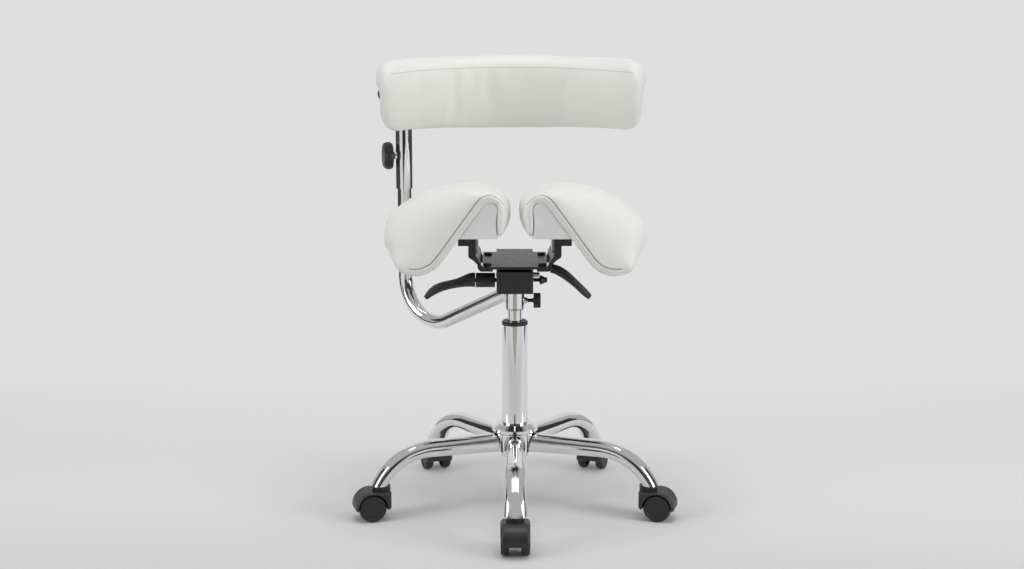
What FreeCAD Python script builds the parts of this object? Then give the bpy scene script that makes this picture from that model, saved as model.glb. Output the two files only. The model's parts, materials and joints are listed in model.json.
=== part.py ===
"""Saddle stool with a split seat, a swing-round backrest and a chrome five-star base.

Millimetres, +Z up. The origin lies on the floor under the column. The front arm of the base points
along -Y, so the seated person looks along -Y and +X is on their left.
"""
import FreeCAD, Part
import math
import os
import Sketcher

V = FreeCAD.Vector
UP = V(0, 0, 1)

DOC = FreeCAD.newDocument("SaddleStool")
SHEET = DOC.addObject("Spreadsheet::Sheet", "Sizes")

SIZES = {
    # Fits shared by all the running and seated pairs
    "running_gap": 0.06,
    "seat_gap": 0.3,
    # Five-star base
    "arm_count": 5,
    "stem_circle_radius": 269,
    "hub_drop": 15,
    "hub_height": 53,
    "hub_drum_radius": 40,
    "hub_rim_radius": 45,
    "hub_top_radius": 33,
    "hub_rim_height": 16,
    "hub_skirt_wall": 4.5,
    "hub_boss_wall": 6,
    "hub_arch_width": 40,
    "hub_arch_top": 38,
    "arm_rise": 62,
    "arm_bend_inset": 98,
    "arm_bend_radius": 116,
    "arm_tip_angle": 62,
    "arm_root_width": 30,
    "arm_root_depth": 38,
    "arm_tip_width": 42,
    "arm_tip_depth": 27,
    "arm_wall": 2,
    "arm_squareness": 0.74,
    "arm_tip_gap": 2,
    "arm_hollow_end": 36,
    "socket_wall": 2,
    "socket_length": 17,
    # Casters
    "wheel_radius": 27,
    "wheel_width": 15.5,
    "wheel_shoulder": 3,
    "wheel_recess": 1.2,
    "wheel_disc_radius": 20.5,
    "wheel_hub_radius": 7,
    "caster_trail": 21,
    "caster_web": 21,
    "caster_web_radius": 12,
    "caster_axle_radius": 3,
    "hood_wall": 4.2,
    "hood_gap": 1.3,
    "hood_lip": 1,
    "hood_drop": 3,
    "hood_edge_radius": 7,
    "caster_neck_radius": 17,
    "caster_height": 66,
    "stem_radius": 5.5,
    "stem_flange_radius": 9,
    "stem_depth": 18,
    "caster_front_swivel": 270,
    "caster_right_swivel": 345,
    "caster_rear_right_swivel": 72,
    "caster_rear_left_swivel": 108,
    "caster_left_swivel": 195,
    # Column and gas lift
    "column_radius": 25,
    "column_wall": 2,
    "column_drop": 15,
    "column_length": 263.5,
    "column_floor": 3,
    "bushing_flange": 7,
    "bushing_length": 120,
    "bushing_chamfer": 2,
    "bearing_radius": 16,
    "bearing_washer": 2,
    "bearing_ball": 4,
    "rod_radius": 5,
    "rod_tail": 6,
    "rod_clip_radius": 8.5,
    "rod_clip_thickness": 2,
    "rod_shoulder": 2.5,
    "rod_length": 206,
    "piston_length": 15,
    "cylinder_radius": 14,
    "cylinder_wall": 2,
    "cylinder_start": 50,
    "cylinder_gland": 8,
    "cone_height": 25,
    "cylinder_taper": 0.7,
    "cylinder_head": 30,
    "valve_radius": 3,
    "valve_length": 27,
    "valve_rise": 6,
    "stop_ring_width": 3,
    "stop_ring_thickness": 2.4,
    # Mechanism under the seat
    "column_stroke": 66.5,
    "housing_height": 42,
    "housing_width": 70,
    "housing_front": 37,
    "housing_rear": 95,
    "housing_rear_height": 25,
    "housing_slope_start": 10,
    "housing_wall": 3,
    "housing_boss_wall": 6,
    "pivot_back": -20,
    "pivot_drop": 13,
    "pivot_radius": 4,
    "pivot_head_radius": 5,
    "pivot_head_length": 12,
    "plate_gap": 5,
    "plate_thickness": 5,
    "plate_width": 124,
    "plate_front": 34,
    "plate_rear": 122,
    "plate_tongue_width": 72,
    "plate_tongue_rear": 154,
    "ear_width": 20,
    "ear_thickness": 3,
    "ear_drop": 21,
    "plate_bolt_inset": 10,
    "plate_bolt_front": -17,
    "plate_bolt_rear": 92,
    "bolt_head_radius": 7.5,
    "bolt_head_height": 5,
    "bolt_radius": 4,
    # Height lever, on the seated person's right
    "height_lever_rise": 20,
    "height_lever_inset": 7,
    "lever_rod_radius": 4,
    "lever_slot_gap": 1.2,
    "lever_pin_inset": 5.5,
    "lever_pin_radius": 2,
    "lug_thickness": 3,
    "lug_reach": 5,
    "lug_height": 8,
    "lug_gap": 0.5,
    "ferrule_radius": 14,
    "ferrule_gap": 3,
    "ferrule_length": 37,
    "paddle_gap": 1.2,
    "tongue_width": 12,
    "tongue_thickness": 3,
    "tongue_gap": 0.4,
    # Tilt lock lever, on the seated person's left
    "tilt_lever_back": 15,
    "tilt_lever_drop": 7.5,
    "tilt_lever_offset": 15,
    "tilt_lever_pin_radius": 2.5,
    "tilt_lever_neck": 18,
    "clevis_wall": 3,
    # Tilt tension screw
    "tension_back": 10,
    "tension_rise": 18,
    "tension_shaft_radius": 3.5,
    "tension_shaft_reach": 12,
    "tension_knob_length": 15.5,
    "tension_knob_radius": 8.5,
    "tension_nut_radius": 7,
    "tension_nut_length": 6,
    # Seat brackets and straps
    "bracket_front": -32,
    "bracket_length": 144,
    "bracket_foot": 4.5,
    "bracket_foot_reach": 10,
    "bracket_offset": 12.5,
    "bracket_thickness": 14,
    "bracket_slope_gap": 4.8,
    "bracket_flange_height": 20,
    "bracket_flange_rise": 45,
    "bracket_window_front": 0,
    "bracket_window_rear": 56,
    "bracket_window_rise": 12,
    "bracket_rib_depth": 3,
    "bracket_rib_pitch": 18,
    "strap_thickness": 4,
    "strap_foot": 15,
    "strap_front": -8,
    "strap_length": 96,
    "strap_height": 51.7,
    # Seat halves
    "seat_stand": 79,
    "core_inset": 5,
    "core_front_inset": 3,
    "core_rear_inset": 52,
    "board_front": -150,
    "board_rear": 182,
    "board_thickness": 13,
    "wing_reach": 24,
    "board_inner": 26,
    "inner_wall_share": 0.45,
    "inner_wall_depth": 73,
    "seat_swing_gap": 12.8,
    "board_front_corner": 18,
    "board_rear_corner": 60,
    "board_inner_corner": 18,
    "fold_across": 22,
    "fold_height": 81,
    "fold_fall": 37,
    "fold_round": 24,
    "fold_drop": 25,
    "valley_across": 186,
    "valley_drop": 138,
    "valley_rear_drop": 85,
    "valley_round": 50,
    "wing_round": 40,
    "crest_rise": 15,
    "crest_across": 105,
    "crest_outer_reach": 35,
    "crest_outer_rise": 25,
    "crest_inner_reach": 18,
    "crest_inner_drop": 51,
    "crest_back": 15,
    # Backrest arm
    "collar_gap": 2,
    "collar_height": 33,
    "collar_wall": 5,
    "collar_chamfer": 1,
    "arm_tube_radius": 14.5,
    "arm_tube_wall": 2,
    "post_inset": 8,
    "post_angle": 137.8,
    "post_headroom": 48,
    "arm_root_rise": 36,
    "arm_fall": 25.7,
    "arm_elbow_radius": 81.7,
    "arm_trim_gap": 1.5,
    "thumb_rise": 15,
    "thumb_shaft_radius": 3.5,
    "thumb_boss_radius": 6,
    "thumb_boss_length": 5,
    "thumb_knob_start": 36,
    "thumb_knob_length": 13.5,
    "thumb_knob_radius": 14.5,
    "thumb_flute_radius": 4,
    "thumb_flute_count": 8,
    # Backrest sleeve, star knob, rail and pad
    "liner_thickness": 1.3,
    "sleeve_wall": 1.4,
    "sleeve_length": 192,
    "liner_length": 60,
    "star_rise": 66,
    "star_radius": 27,
    "star_thickness": 19,
    "star_hub_radius": 9,
    "star_hub_length": 2.5,
    "star_notch_radius": 8,
    "star_lobes": 6,
    "star_screw_radius": 4,
    "star_boss_radius": 8,
    "star_boss_length": 2.5,
    "star_turn": 12,
    "rail_radius": 13.5,
    "rail_ring_radius": 306,
    "back_rise": 234,
    "rail_wall": 2,
    "rail_centre_angle": 93.2,
    "rail_half_span": 54,
    "cap_thickness": 5,
    "cap_plug": 12,
    "pad_centre_angle": 92.45,
    "pad_half_span": 62.5,
    "pad_end_skew": 35,
    "pad_end_length": 48,
    "pad_front_reach": 54,
    "pad_back_inset": 13.8,
    "pad_roll_reach": 12,
    "pad_drop": 69,
    "pad_sag": 10,
    "pad_seam_rise": 47,
    "pad_rise": 67,
    "pad_roll_rise": 22,
}

PLACES = {
    # Levels, each from what it stands on
    "arm_tip_height": "caster_height + arm_tip_gap",
    "arm_centre_height": "arm_tip_height + arm_rise",
    "hub_bottom": "arm_centre_height - hub_drop",
    "column_bottom": "hub_bottom - column_drop",
    "rod_end": "column_bottom - rod_tail",
    "column_top": "column_bottom + column_length",
    "cylinder_bottom": "column_bottom + cylinder_start",
    "housing_bottom": "column_top + column_stroke",
    "collar_bottom": "housing_bottom - collar_gap - collar_height",
    "cylinder_top": "housing_bottom + cone_height",
    "thumb_level": "collar_bottom + thumb_rise",
    "arm_trim_height": "housing_bottom - arm_trim_gap",
    "arm_root_height": "collar_bottom + arm_root_rise",
    "plate_underside": "housing_bottom + housing_height + plate_gap",
    "pivot_height": "plate_underside - pivot_drop",
    "height_lever_level": "housing_bottom + height_lever_rise",
    "tilt_lever_level": "plate_underside - tilt_lever_drop",
    "tension_level": "housing_bottom + tension_rise",
    "bracket_window_top": "plate_underside + bracket_window_rise",
    "bracket_flange_level": "plate_underside + bracket_flange_rise",
    "core_bottom": "plate_underside + seat_stand",
    "strap_bottom": "core_bottom - seat_gap - strap_height",
    "apex_height": "core_bottom + fold_height",
    "apex_rear_height": "apex_height - fold_fall",
    "valley_height": "apex_height - valley_drop",
    "valley_rear_height": "apex_rear_height - valley_rear_drop",
    "crest_inner_height": "apex_height - crest_inner_drop",
    "rail_height": "core_bottom + back_rise",
    "sleeve_bottom": "rail_height - sleeve_length",
    "star_level": "sleeve_bottom + star_rise",
    "post_top": "rail_height - post_headroom",
    "pad_bottom": "rail_height - pad_drop",
    "pad_roll_underside": "rail_height + pad_roll_rise",
    "pad_seam_height": "rail_height + pad_seam_rise",
    "pad_top": "rail_height + pad_rise",
    # Distances from an axis or a middle plane
    "arm_bend_start": "stem_circle_radius - arm_bend_inset",
    "hub_boss_radius": "column_radius + hub_boss_wall",
    "socket_radius": "stem_radius + socket_wall",
    "collar_radius": "cylinder_radius + collar_wall",
    "housing_boss_radius": "cylinder_radius + housing_boss_wall",
    "height_lever_pivot": "housing_width / 2 - height_lever_inset",
    "lever_pin_across": "housing_width / 2 - lever_pin_inset",
    "ferrule_start": "housing_width / 2 + ferrule_gap",
    "tilt_lever_pivot": "housing_width / 2 + tilt_lever_offset",
    "tilt_lever_start": "tilt_lever_pivot + tilt_lever_neck",
    "tension_shaft_end": "housing_width / 2 + tension_shaft_reach",
    "plate_bolt_spread": "plate_width / 2 - plate_bolt_inset",
    "bracket_foot_inner": "plate_bolt_spread - bracket_foot_reach",
    "bracket_inner": "plate_width / 2 + bracket_offset",
    "bracket_waist": "bracket_inner + bracket_thickness",
    "bracket_shoulder": "bracket_flange_level + bracket_flange_height",
    "board_outer": "valley_across + wing_reach",
    "core_inner": "board_inner + core_inset",
    "core_front": "board_front + core_front_inset",
    "core_rear": "board_rear - core_rear_inset",
    "apex_across": "board_inner + fold_across",
    "crest_outer": "board_outer + crest_outer_reach",
    "crest_inner": "board_inner - crest_inner_reach",
    "sleeve_radius": "arm_tube_radius + liner_thickness + sleeve_wall",
    "post_radius": "rail_ring_radius - post_inset",
    "pad_inner": "rail_ring_radius - pad_front_reach",
    "pad_outer": "rail_ring_radius - pad_back_inset",
    "pad_roll_outer": "rail_ring_radius + pad_roll_reach",
    "seat_clear_radius": "post_radius - sleeve_radius - seat_swing_gap",
}


class Size:
    """A size and the sheet formula that gives it, kept together through arithmetic."""

    def __init__(self, text, value):
        self.text = text
        self.value = float(value)

    def __float__(self):
        return self.value

    def __add__(self, other):
        other = as_size(other)
        return Size("(%s + %s)" % (self.text, other.text), self.value + other.value)

    def __radd__(self, other):
        return as_size(other) + self

    def __sub__(self, other):
        other = as_size(other)
        return Size("(%s - %s)" % (self.text, other.text), self.value - other.value)

    def __rsub__(self, other):
        return as_size(other) - self

    def __mul__(self, other):
        other = as_size(other)
        return Size("(%s * %s)" % (self.text, other.text), self.value * other.value)

    def __rmul__(self, other):
        return as_size(other) * self

    def __truediv__(self, other):
        other = as_size(other)
        return Size("(%s / %s)" % (self.text, other.text), self.value / other.value)

    def __neg__(self):
        return Size("(-1 * %s)" % self.text, -self.value)


def as_size(number):
    """A plain number as a size with itself for a formula."""
    if isinstance(number, Size):
        return number
    return Size(repr(float(number)), number)


def sine(angle):
    return Size("sin(%s * 1 deg)" % angle.text, math.sin(math.radians(angle.value)))


def cosine(angle):
    return Size("cos(%s * 1 deg)" % angle.text, math.cos(math.radians(angle.value)))


def tangent(angle):
    return Size("tan(%s * 1 deg)" % angle.text, math.tan(math.radians(angle.value)))


class Named:
    """The sizes of the sheet, each read by its name."""


def fill_sheet():
    """Write all sizes and the places that follow from them, and read them back by name."""
    named = Named()
    cells = [(alias, str(value)) for alias, value in SIZES.items()]
    cells += [(alias, "=" + formula) for alias, formula in PLACES.items()]
    for row, (alias, content) in enumerate(cells, start=1):
        SHEET.set("A%d" % row, alias)
        SHEET.set("B%d" % row, content)
        SHEET.setAlias("B%d" % row, alias)
    DOC.recompute()
    for alias, _ in cells:
        setattr(named, alias, Size("Sizes." + alias, SHEET.get(alias)))
    return named


D = fill_sheet()
PARTS = {}


def new_body(label):
    body = DOC.addObject("PartDesign::Body", label)
    body.Label = label
    PARTS[label] = body
    return body


def new_feature(label, shape, placement=None):
    feature = DOC.addObject("Part::Feature", label)
    feature.Label = label
    feature.Shape = shape
    if placement is not None:
        feature.Placement = placement
    PARTS[label] = feature
    return feature


def circle_through(first, middle, last):
    """Centre, radius and turning sense of the arc through three points."""
    ax, ay, bx, by, cx, cy = first[0], first[1], middle[0], middle[1], last[0], last[1]
    twice = 2 * (ax * (by - cy) + bx * (cy - ay) + cx * (ay - by))
    a_sq = ax * ax + ay * ay
    b_sq = bx * bx + by * by
    c_sq = cx * cx + cy * cy
    ux = (a_sq * (by - cy) + b_sq * (cy - ay) + c_sq * (ay - by)) / twice
    uy = (a_sq * (cx - bx) + b_sq * (ax - cx) + c_sq * (bx - ax)) / twice
    return ux, uy, math.hypot(ax - ux, ay - uy), twice > 0


def pin_point(sketch, geometry, end, corner):
    """Tie one point of the sketch to its two distances from the origin."""
    for kind, axis, distance in (("DistanceX", -2, corner[0]), ("DistanceY", -1, corner[1])):
        distance = as_size(distance)
        if distance.text == "0.0":
            sketch.addConstraint(Sketcher.Constraint("PointOnObject", geometry, end, axis))
            continue
        index = sketch.addConstraint(Sketcher.Constraint(kind, -1, 1, geometry, end, distance.value))
        sketch.setExpression("Constraints[%d]" % index, distance.text)


def new_sketch(body, role, name, lift=None):
    """A sketch on one of the body's own origin planes, moved along its normal by lift."""
    sketch = body.newObject("Sketcher::SketchObject", name)
    plane = next(item for item in body.Origin.OriginFeatures if item.Role == role)
    sketch.AttachmentSupport = [(plane, "")]
    sketch.MapMode = "FlatFace"
    if lift is not None:
        sketch.setExpression("AttachmentOffset.Base.z", as_size(lift).text)
    return sketch


def draw(sketch, corners, closed=True):
    """Edges from corner to corner. A corner of four values starts an arc through its last two."""
    count = len(corners)
    spans = count if closed else count - 1
    starts, ends, helpers = [], [], []
    for index in range(spans):
        here = corners[index]
        there = corners[(index + 1) % count]
        first = (float(here[0]), float(here[1]))
        last = (float(there[0]), float(there[1]))
        if len(here) == 2:
            edge = sketch.addGeometry(Part.LineSegment(V(*first, 0), V(*last, 0)), False)
            starts.append((edge, 1))
            ends.append((edge, 2))
            continue
        middle = (float(here[2]), float(here[3]))
        x, y, radius, left_turn = circle_through(first, middle, last)
        begin, stop = (first, last) if left_turn else (last, first)
        from_angle = math.atan2(begin[1] - y, begin[0] - x)
        to_angle = math.atan2(stop[1] - y, stop[0] - x)
        if to_angle < from_angle:
            to_angle += 2 * math.pi
        circle = Part.Circle(V(x, y, 0), UP, radius)
        edge = sketch.addGeometry(Part.ArcOfCircle(circle, from_angle, to_angle), False)
        starts.append((edge, 1 if left_turn else 2))
        ends.append((edge, 2 if left_turn else 1))
        helpers.append((edge, here[2], here[3]))
    for index in range(spans):
        pin_point(sketch, *starts[index], corners[index])
        following = (index + 1) % spans
        if closed or following:
            sketch.addConstraint(Sketcher.Constraint("Coincident", *ends[index], *starts[following]))
    if not closed:
        pin_point(sketch, *ends[-1], corners[-1])
    for edge, across, along in helpers:
        point = sketch.addGeometry(Part.Point(V(float(across), float(along), 0)), True)
        pin_point(sketch, point, 1, (across, along))
        sketch.addConstraint(Sketcher.Constraint("PointOnObject", point, 1, edge))
    return sketch


def draw_circle(sketch, across, along, radius):
    circle = Part.Circle(V(float(across), float(along), 0), UP, float(radius))
    edge = sketch.addGeometry(circle, False)
    pin_point(sketch, edge, 3, (across, along))
    index = sketch.addConstraint(Sketcher.Constraint("Radius", edge, float(radius)))
    sketch.setExpression("Constraints[%d]" % index, as_size(radius).text)
    return sketch


def turn(body, corners, name="turned", kind="PartDesign::Revolution", role="XZ_Plane", axis="V_Axis"):
    """Turn a closed outline right round the sketch's axis."""
    sketch = draw(new_sketch(body, role, name + "_outline"), corners)
    feature = body.newObject(kind, name)
    feature.Profile = sketch
    feature.ReferenceAxis = (sketch, [axis])
    feature.Angle = 360
    return feature


def pad(body, sketch, length, name, side="One side", flip=False, kind="PartDesign::Pad"):
    """Pad or pocket a sketch by a length taken from the sheet."""
    feature = body.newObject(kind, name)
    feature.Profile = sketch
    feature.SideType = side
    feature.Length = float(length)
    feature.setExpression("Length", as_size(length).text)
    feature.Reversed = flip
    return feature


def around(body, feature, count, name="around", role="Z_Axis"):
    """Repeat a feature round the body's upright axis."""
    pattern = body.newObject("PartDesign::PolarPattern", name)
    pattern.Originals = [feature]
    axis = next(item for item in body.Origin.OriginFeatures if item.Role == role)
    pattern.Axis = (axis, [""])
    pattern.Angle = 360
    pattern.Occurrences = int(count.value)
    pattern.setExpression("Occurrences", count.text)
    body.Tip = pattern
    return pattern


def soften(body, radius, chosen, kind="PartDesign::Fillet", name="softened"):
    """Round or chamfer the edges of the body's tip that pass the test."""
    DOC.recompute()
    tip = body.Tip
    names = ["Edge%d" % number for number, edge in enumerate(tip.Shape.Edges, start=1) if chosen(edge)]
    feature = body.newObject(kind, name)
    feature.Base = (tip, names)
    field = "Radius" if kind == "PartDesign::Fillet" else "Size"
    setattr(feature, field, float(radius))
    feature.setExpression(field, as_size(radius).text)
    body.Tip = feature
    return feature


def put(thing, x=0, y=0, z=0, axis=UP, angle=0):
    """Turn a sub-part about an axis and move it to a place whose distances come from the sheet."""
    thing.Placement = FreeCAD.Placement(V(float(x), float(y), float(z)), FreeCAD.Rotation(axis, float(angle)))
    for field, distance in (("x", x), ("y", y), ("z", z)):
        if isinstance(distance, Size):
            thing.setExpression("Placement.Base." + field, distance.text)
    return thing


# The five-star base

HUB_TOP = D.hub_bottom + D.hub_height
BORE_RADIUS = D.column_radius + D.running_gap
ARM_NAMES = ("front", "right", "rear_right", "rear_left", "left")


def arm_bearing(index):
    """Direction of one base arm in degrees from +X, the first along -Y."""
    return 270 + index * 360 / D.arm_count.value


def make_hub():
    """A turned hub with a hanging skirt, arched where each arm passes through it."""
    body = new_body("hub")
    skirt_inner = D.hub_drum_radius - D.hub_skirt_wall
    shoulder = HUB_TOP - D.hub_rim_height
    rim = D.hub_rim_radius
    turn(body, [(BORE_RADIUS, D.hub_bottom), (D.hub_boss_radius, D.hub_bottom),
                (D.hub_boss_radius, shoulder), (skirt_inner, shoulder), (skirt_inner, D.hub_bottom),
                (D.hub_drum_radius, D.hub_bottom), (D.hub_drum_radius, shoulder - 2),
                (rim, shoulder + 2), (rim, HUB_TOP - D.hub_rim_height / 2),
                (D.hub_top_radius, HUB_TOP), (BORE_RADIUS, HUB_TOP)], "hub_turned")
    half = D.hub_arch_width / 2
    low = D.hub_bottom - 1
    spring = D.hub_bottom + D.hub_arch_top - half
    arch = draw(new_sketch(body, "XZ_Plane", "arch_outline"),
                [(-half, low), (half, low), (half, spring, 0, spring + half), (-half, spring)])
    cut = pad(body, arch, D.hub_rim_radius + 1, "arch", flip=True, kind="PartDesign::Pocket")
    inner = new_sketch(body, "XY_Plane", "boss_outline", D.hub_bottom)
    around(body, cut, D.arm_count)
    draw_circle(inner, 0, 0, D.hub_boss_radius)
    draw_circle(inner, 0, 0, BORE_RADIUS)
    pad(body, inner, D.hub_height - D.hub_rim_height, "boss")


def arm_path(bend):
    """Radius, height and fall of the arm's centre line, bend degrees round its elbow."""
    turned = math.radians(bend)
    radius = float(D.arm_bend_radius)
    out = float(D.arm_bend_start) + radius * math.sin(turned)
    height = float(D.arm_centre_height) - radius * (1 - math.cos(turned))
    return out, height, bend


def arm_section(out, height, fall, share, shrink):
    """A squared oval across the arm; share runs from 0 at the hub to 1 at the tip."""
    width = D.arm_root_width.value + share * (D.arm_tip_width.value - D.arm_root_width.value)
    depth = D.arm_root_depth.value + share * (D.arm_tip_depth.value - D.arm_root_depth.value)
    slope = math.radians(fall)
    normal = V(math.sin(slope), 0, math.cos(slope)) * (depth / 2 - shrink)
    sideways = V(0, width / 2 - shrink, 0)
    square = D.arm_squareness.value
    turns = ((square, square), (0, 1), (-square, square), (-1, 0), (-square, -square), (0, -1),
             (square, -square), (1, 0), (square, square))
    points = [V(out, 0, height) + sideways * across + normal * up for across, up in turns]
    return Part.Wire([Part.Arc(*points[first:first + 3]).toShape() for first in range(0, 7, 2)])


def arm_solid(shrink, last_bend):
    """A straight tapered run out of the hub, then a loft round the elbow to the given bend."""
    start = float(D.column_radius)
    straight = float(D.arm_bend_start)
    height = float(D.arm_centre_height)
    bend_share = 0.4
    lead_in = 24
    lead_share = bend_share * (straight - lead_in - start) / (straight - start)
    root = arm_section(start, height, 0, 0, shrink)
    knee = arm_section(straight - lead_in, height, 0, lead_share, shrink)
    run = Part.makeLoft([root, knee], True, True)
    elbow = [knee, arm_section(straight, height, 0, bend_share, shrink)]
    steps = 4
    for step in range(1, steps + 1):
        bend = last_bend * step / steps
        share = min(1, bend_share + (1 - bend_share) * bend / float(D.arm_tip_angle))
        elbow.append(arm_section(*arm_path(bend), share, shrink))
    return run.fuse(Part.makeLoft(elbow, True, shrink > 0))


def make_base_arms():
    """Five swept oval tubes, closed at the tip, where the caster socket is let in from below."""
    wide = 400
    outer = arm_solid(0, D.arm_tip_angle.value + 9)
    inner = arm_solid(D.arm_wall.value, D.arm_hollow_end.value)
    arm = outer.cut(inner)
    tip_height = float(D.arm_tip_height)
    below = Part.makeBox(wide, wide, wide, V(0, -wide / 2, tip_height - wide))
    boss = Part.makeCylinder(float(D.hub_boss_radius + D.seat_gap), wide, V(0, 0, 0))
    stem = V(float(D.stem_circle_radius), 0, tip_height - 1)
    socket = Part.makeCylinder(float(D.socket_radius), float(D.socket_length) + 1, stem)
    arm = arm.cut(below).cut(boss).cut(socket)
    for index, name in enumerate(ARM_NAMES):
        feature = new_feature("arm_" + name, arm.copy())
        put(feature, angle=arm_bearing(index))


def stem_place(index):
    """World x and y of one caster stem."""
    bearing = math.radians(arm_bearing(index))
    return math.cos(bearing), math.sin(bearing)


def make_stem_sockets():
    """Blind bushes let into the five arm tips, one node of five solids."""
    depth = D.socket_length.value
    wall = 1.5
    bushes = []
    for index in range(int(D.arm_count.value)):
        cosine_part, sine_part = stem_place(index)
        radius = float(D.stem_circle_radius)
        foot = V(radius * cosine_part, radius * sine_part, float(D.arm_tip_height))
        bush = Part.makeCylinder(float(D.socket_radius), depth, foot)
        bore = Part.makeCylinder(float(D.stem_radius + D.running_gap), depth - wall, foot)
        bushes.append(bush.cut(bore))
    new_feature("stem_sockets", Part.makeCompound(bushes))


# Casters

HOOD_RADIUS = D.wheel_radius + D.hood_gap + D.hood_wall
WHEEL_GAP = D.caster_web / 2 + 0.5
CASTER_HALF = WHEEL_GAP + D.wheel_width + D.hood_lip


def place_caster_part(thing, index, swivel):
    """Move a part from the caster's own frame, stem at the origin, to its arm."""
    cosine_part, sine_part = stem_place(index)
    radius = D.stem_circle_radius
    put(thing, radius * cosine_part, radius * sine_part, 0, UP, swivel)


def make_caster_housing(label):
    """A hood over both wheels, open to the sides, with the axle web and the stem neck."""
    body = new_body(label)
    trail = D.caster_trail
    level = D.wheel_radius - D.hood_drop
    lead = D.caster_neck_radius - 2
    reach = HOOD_RADIUS * 0.9957
    crown = HOOD_RADIUS * 0.7071
    hood = draw(new_sketch(body, "XZ_Plane", "hood_outline"),
                [(-lead, level + 4), (4 - lead, level),
                 (trail + reach, level, trail + crown, D.wheel_radius + crown),
                 (trail, D.wheel_radius + HOOD_RADIUS),
                 (-lead, D.wheel_radius + HOOD_RADIUS - 3)])
    pad(body, hood, CASTER_HALF * 2, "hood", side="Symmetric")
    half = float(CASTER_HALF)

    def long_top_edge(edge):
        box = edge.BoundBox
        flat_side = abs(abs(box.YMin) - half) < 0.01 and abs(box.YMax - box.YMin) < 0.01
        return flat_side and box.ZMax > float(level) + 10

    soften(body, D.hood_edge_radius, long_top_edge, name="hood_rounded")
    neck = draw_circle(new_sketch(body, "XY_Plane", "neck_outline", D.wheel_radius), 0, 0,
                       D.caster_neck_radius)
    pad(body, neck, D.caster_height - D.wheel_radius, "neck")
    cavity = D.wheel_radius + D.hood_gap
    for side in (1, -1):
        floor = draw_circle(new_sketch(body, "XZ_Plane", "wheel_room_outline", CASTER_HALF * side),
                            trail, D.wheel_radius, cavity)
        pad(body, floor, CASTER_HALF - D.caster_web / 2, "wheel_room", flip=side < 0,
            kind="PartDesign::Pocket")
    web = new_sketch(body, "XZ_Plane", "web_outline")
    draw_circle(web, trail, D.wheel_radius, D.caster_web_radius)
    pad(body, web, D.caster_web, "web", side="Symmetric")
    bore = draw_circle(new_sketch(body, "XZ_Plane", "axle_outline"), trail, D.wheel_radius,
                       D.caster_axle_radius)
    pad(body, bore, CASTER_HALF * 2, "axle_bore", side="Symmetric", kind="PartDesign::Pocket")
    stem_hole = draw_circle(new_sketch(body, "XY_Plane", "stem_outline", D.caster_height), 0, 0,
                            D.stem_radius)
    pad(body, stem_hole, D.stem_depth, "stem_bore", kind="PartDesign::Pocket")
    return body


def make_caster_pins(label):
    """The swivel stem with its flange, and the axle that both wheels run on."""
    top = D.arm_tip_height + D.socket_length - 2
    flange = D.arm_tip_height - D.seat_gap
    foot = D.caster_height - D.stem_depth
    radius = D.stem_radius
    edge = 0.8
    profile = [V(0, 0, float(foot)), V(float(radius), 0, float(foot)),
               V(float(radius), 0, float(D.caster_height)),
               V(float(D.stem_flange_radius), 0, float(D.caster_height)),
               V(float(D.stem_flange_radius), 0, float(flange)), V(float(radius), 0, float(flange)),
               V(float(radius), 0, float(top) - edge), V(float(radius) - edge, 0, float(top)),
               V(0, 0, float(top)), V(0, 0, float(foot))]
    stem = Part.Face(Part.makePolygon(profile)).revolve(V(0, 0, 0), UP, 360)
    half = float(WHEEL_GAP + D.wheel_width - D.wheel_recess)
    start = V(float(D.caster_trail), -half, float(D.wheel_radius))
    axle = Part.makeCylinder(float(D.caster_axle_radius), 2 * half, start, V(0, 1, 0))
    return new_feature(label, Part.makeCompound([stem, axle]))


def make_wheel(label, side):
    """A moulded wheel with a barrel tread, a sunk outer disc and a hollow inner face."""
    body = new_body(label)
    bore = D.caster_axle_radius + D.running_gap
    radius = D.wheel_radius
    shoulder = radius - D.wheel_shoulder
    near = WHEEL_GAP
    far = WHEEL_GAP + D.wheel_width
    disc = far - D.wheel_recess
    middle = near + D.wheel_width / 2
    turn(body, [(bore, near), (D.wheel_hub_radius, near), (D.wheel_hub_radius, near + 5),
                (shoulder - 3, near + 5), (shoulder - 3, near),
                (shoulder, near, radius, middle), (shoulder, far),
                (D.wheel_disc_radius, far), (D.wheel_disc_radius - 1, disc), (bore, disc)], "wheel")
    return body


def place_wheel(body, index, swivel, side):
    """Stand the wheel, turned about the upright, on its side of the axle."""
    cosine_part, sine_part = stem_place(index)
    heading = math.radians(swivel)
    radius = D.stem_circle_radius
    x = radius * cosine_part + D.caster_trail * math.cos(heading)
    y = radius * sine_part + D.caster_trail * math.sin(heading)
    put(body, x, y, D.wheel_radius)
    face = FreeCAD.Rotation(V(1, 0, 0), -90 * side)
    body.Placement.Rotation = FreeCAD.Rotation(UP, swivel).multiply(face)


def make_casters():
    swivels = (D.caster_front_swivel, D.caster_right_swivel, D.caster_rear_right_swivel,
               D.caster_rear_left_swivel, D.caster_left_swivel)
    for index, (name, swivel) in enumerate(zip(ARM_NAMES, swivels)):
        label = "caster_" + name
        place_caster_part(make_caster_housing(label + "_housing"), index, swivel.value)
        place_caster_part(make_caster_pins(label + "_pins"), index, swivel.value)
        place_wheel(make_wheel(label + "_wheel_a", 1), index, swivel.value, 1)
        place_wheel(make_wheel(label + "_wheel_b", -1), index, swivel.value, -1)


# Column and gas lift

CYLINDER_BORE = D.cylinder_radius + D.running_gap
BEARING_FLOOR = D.column_bottom + D.column_floor
BEARING_TOP = BEARING_FLOOR + D.bearing_washer * 2 + D.bearing_ball


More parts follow.
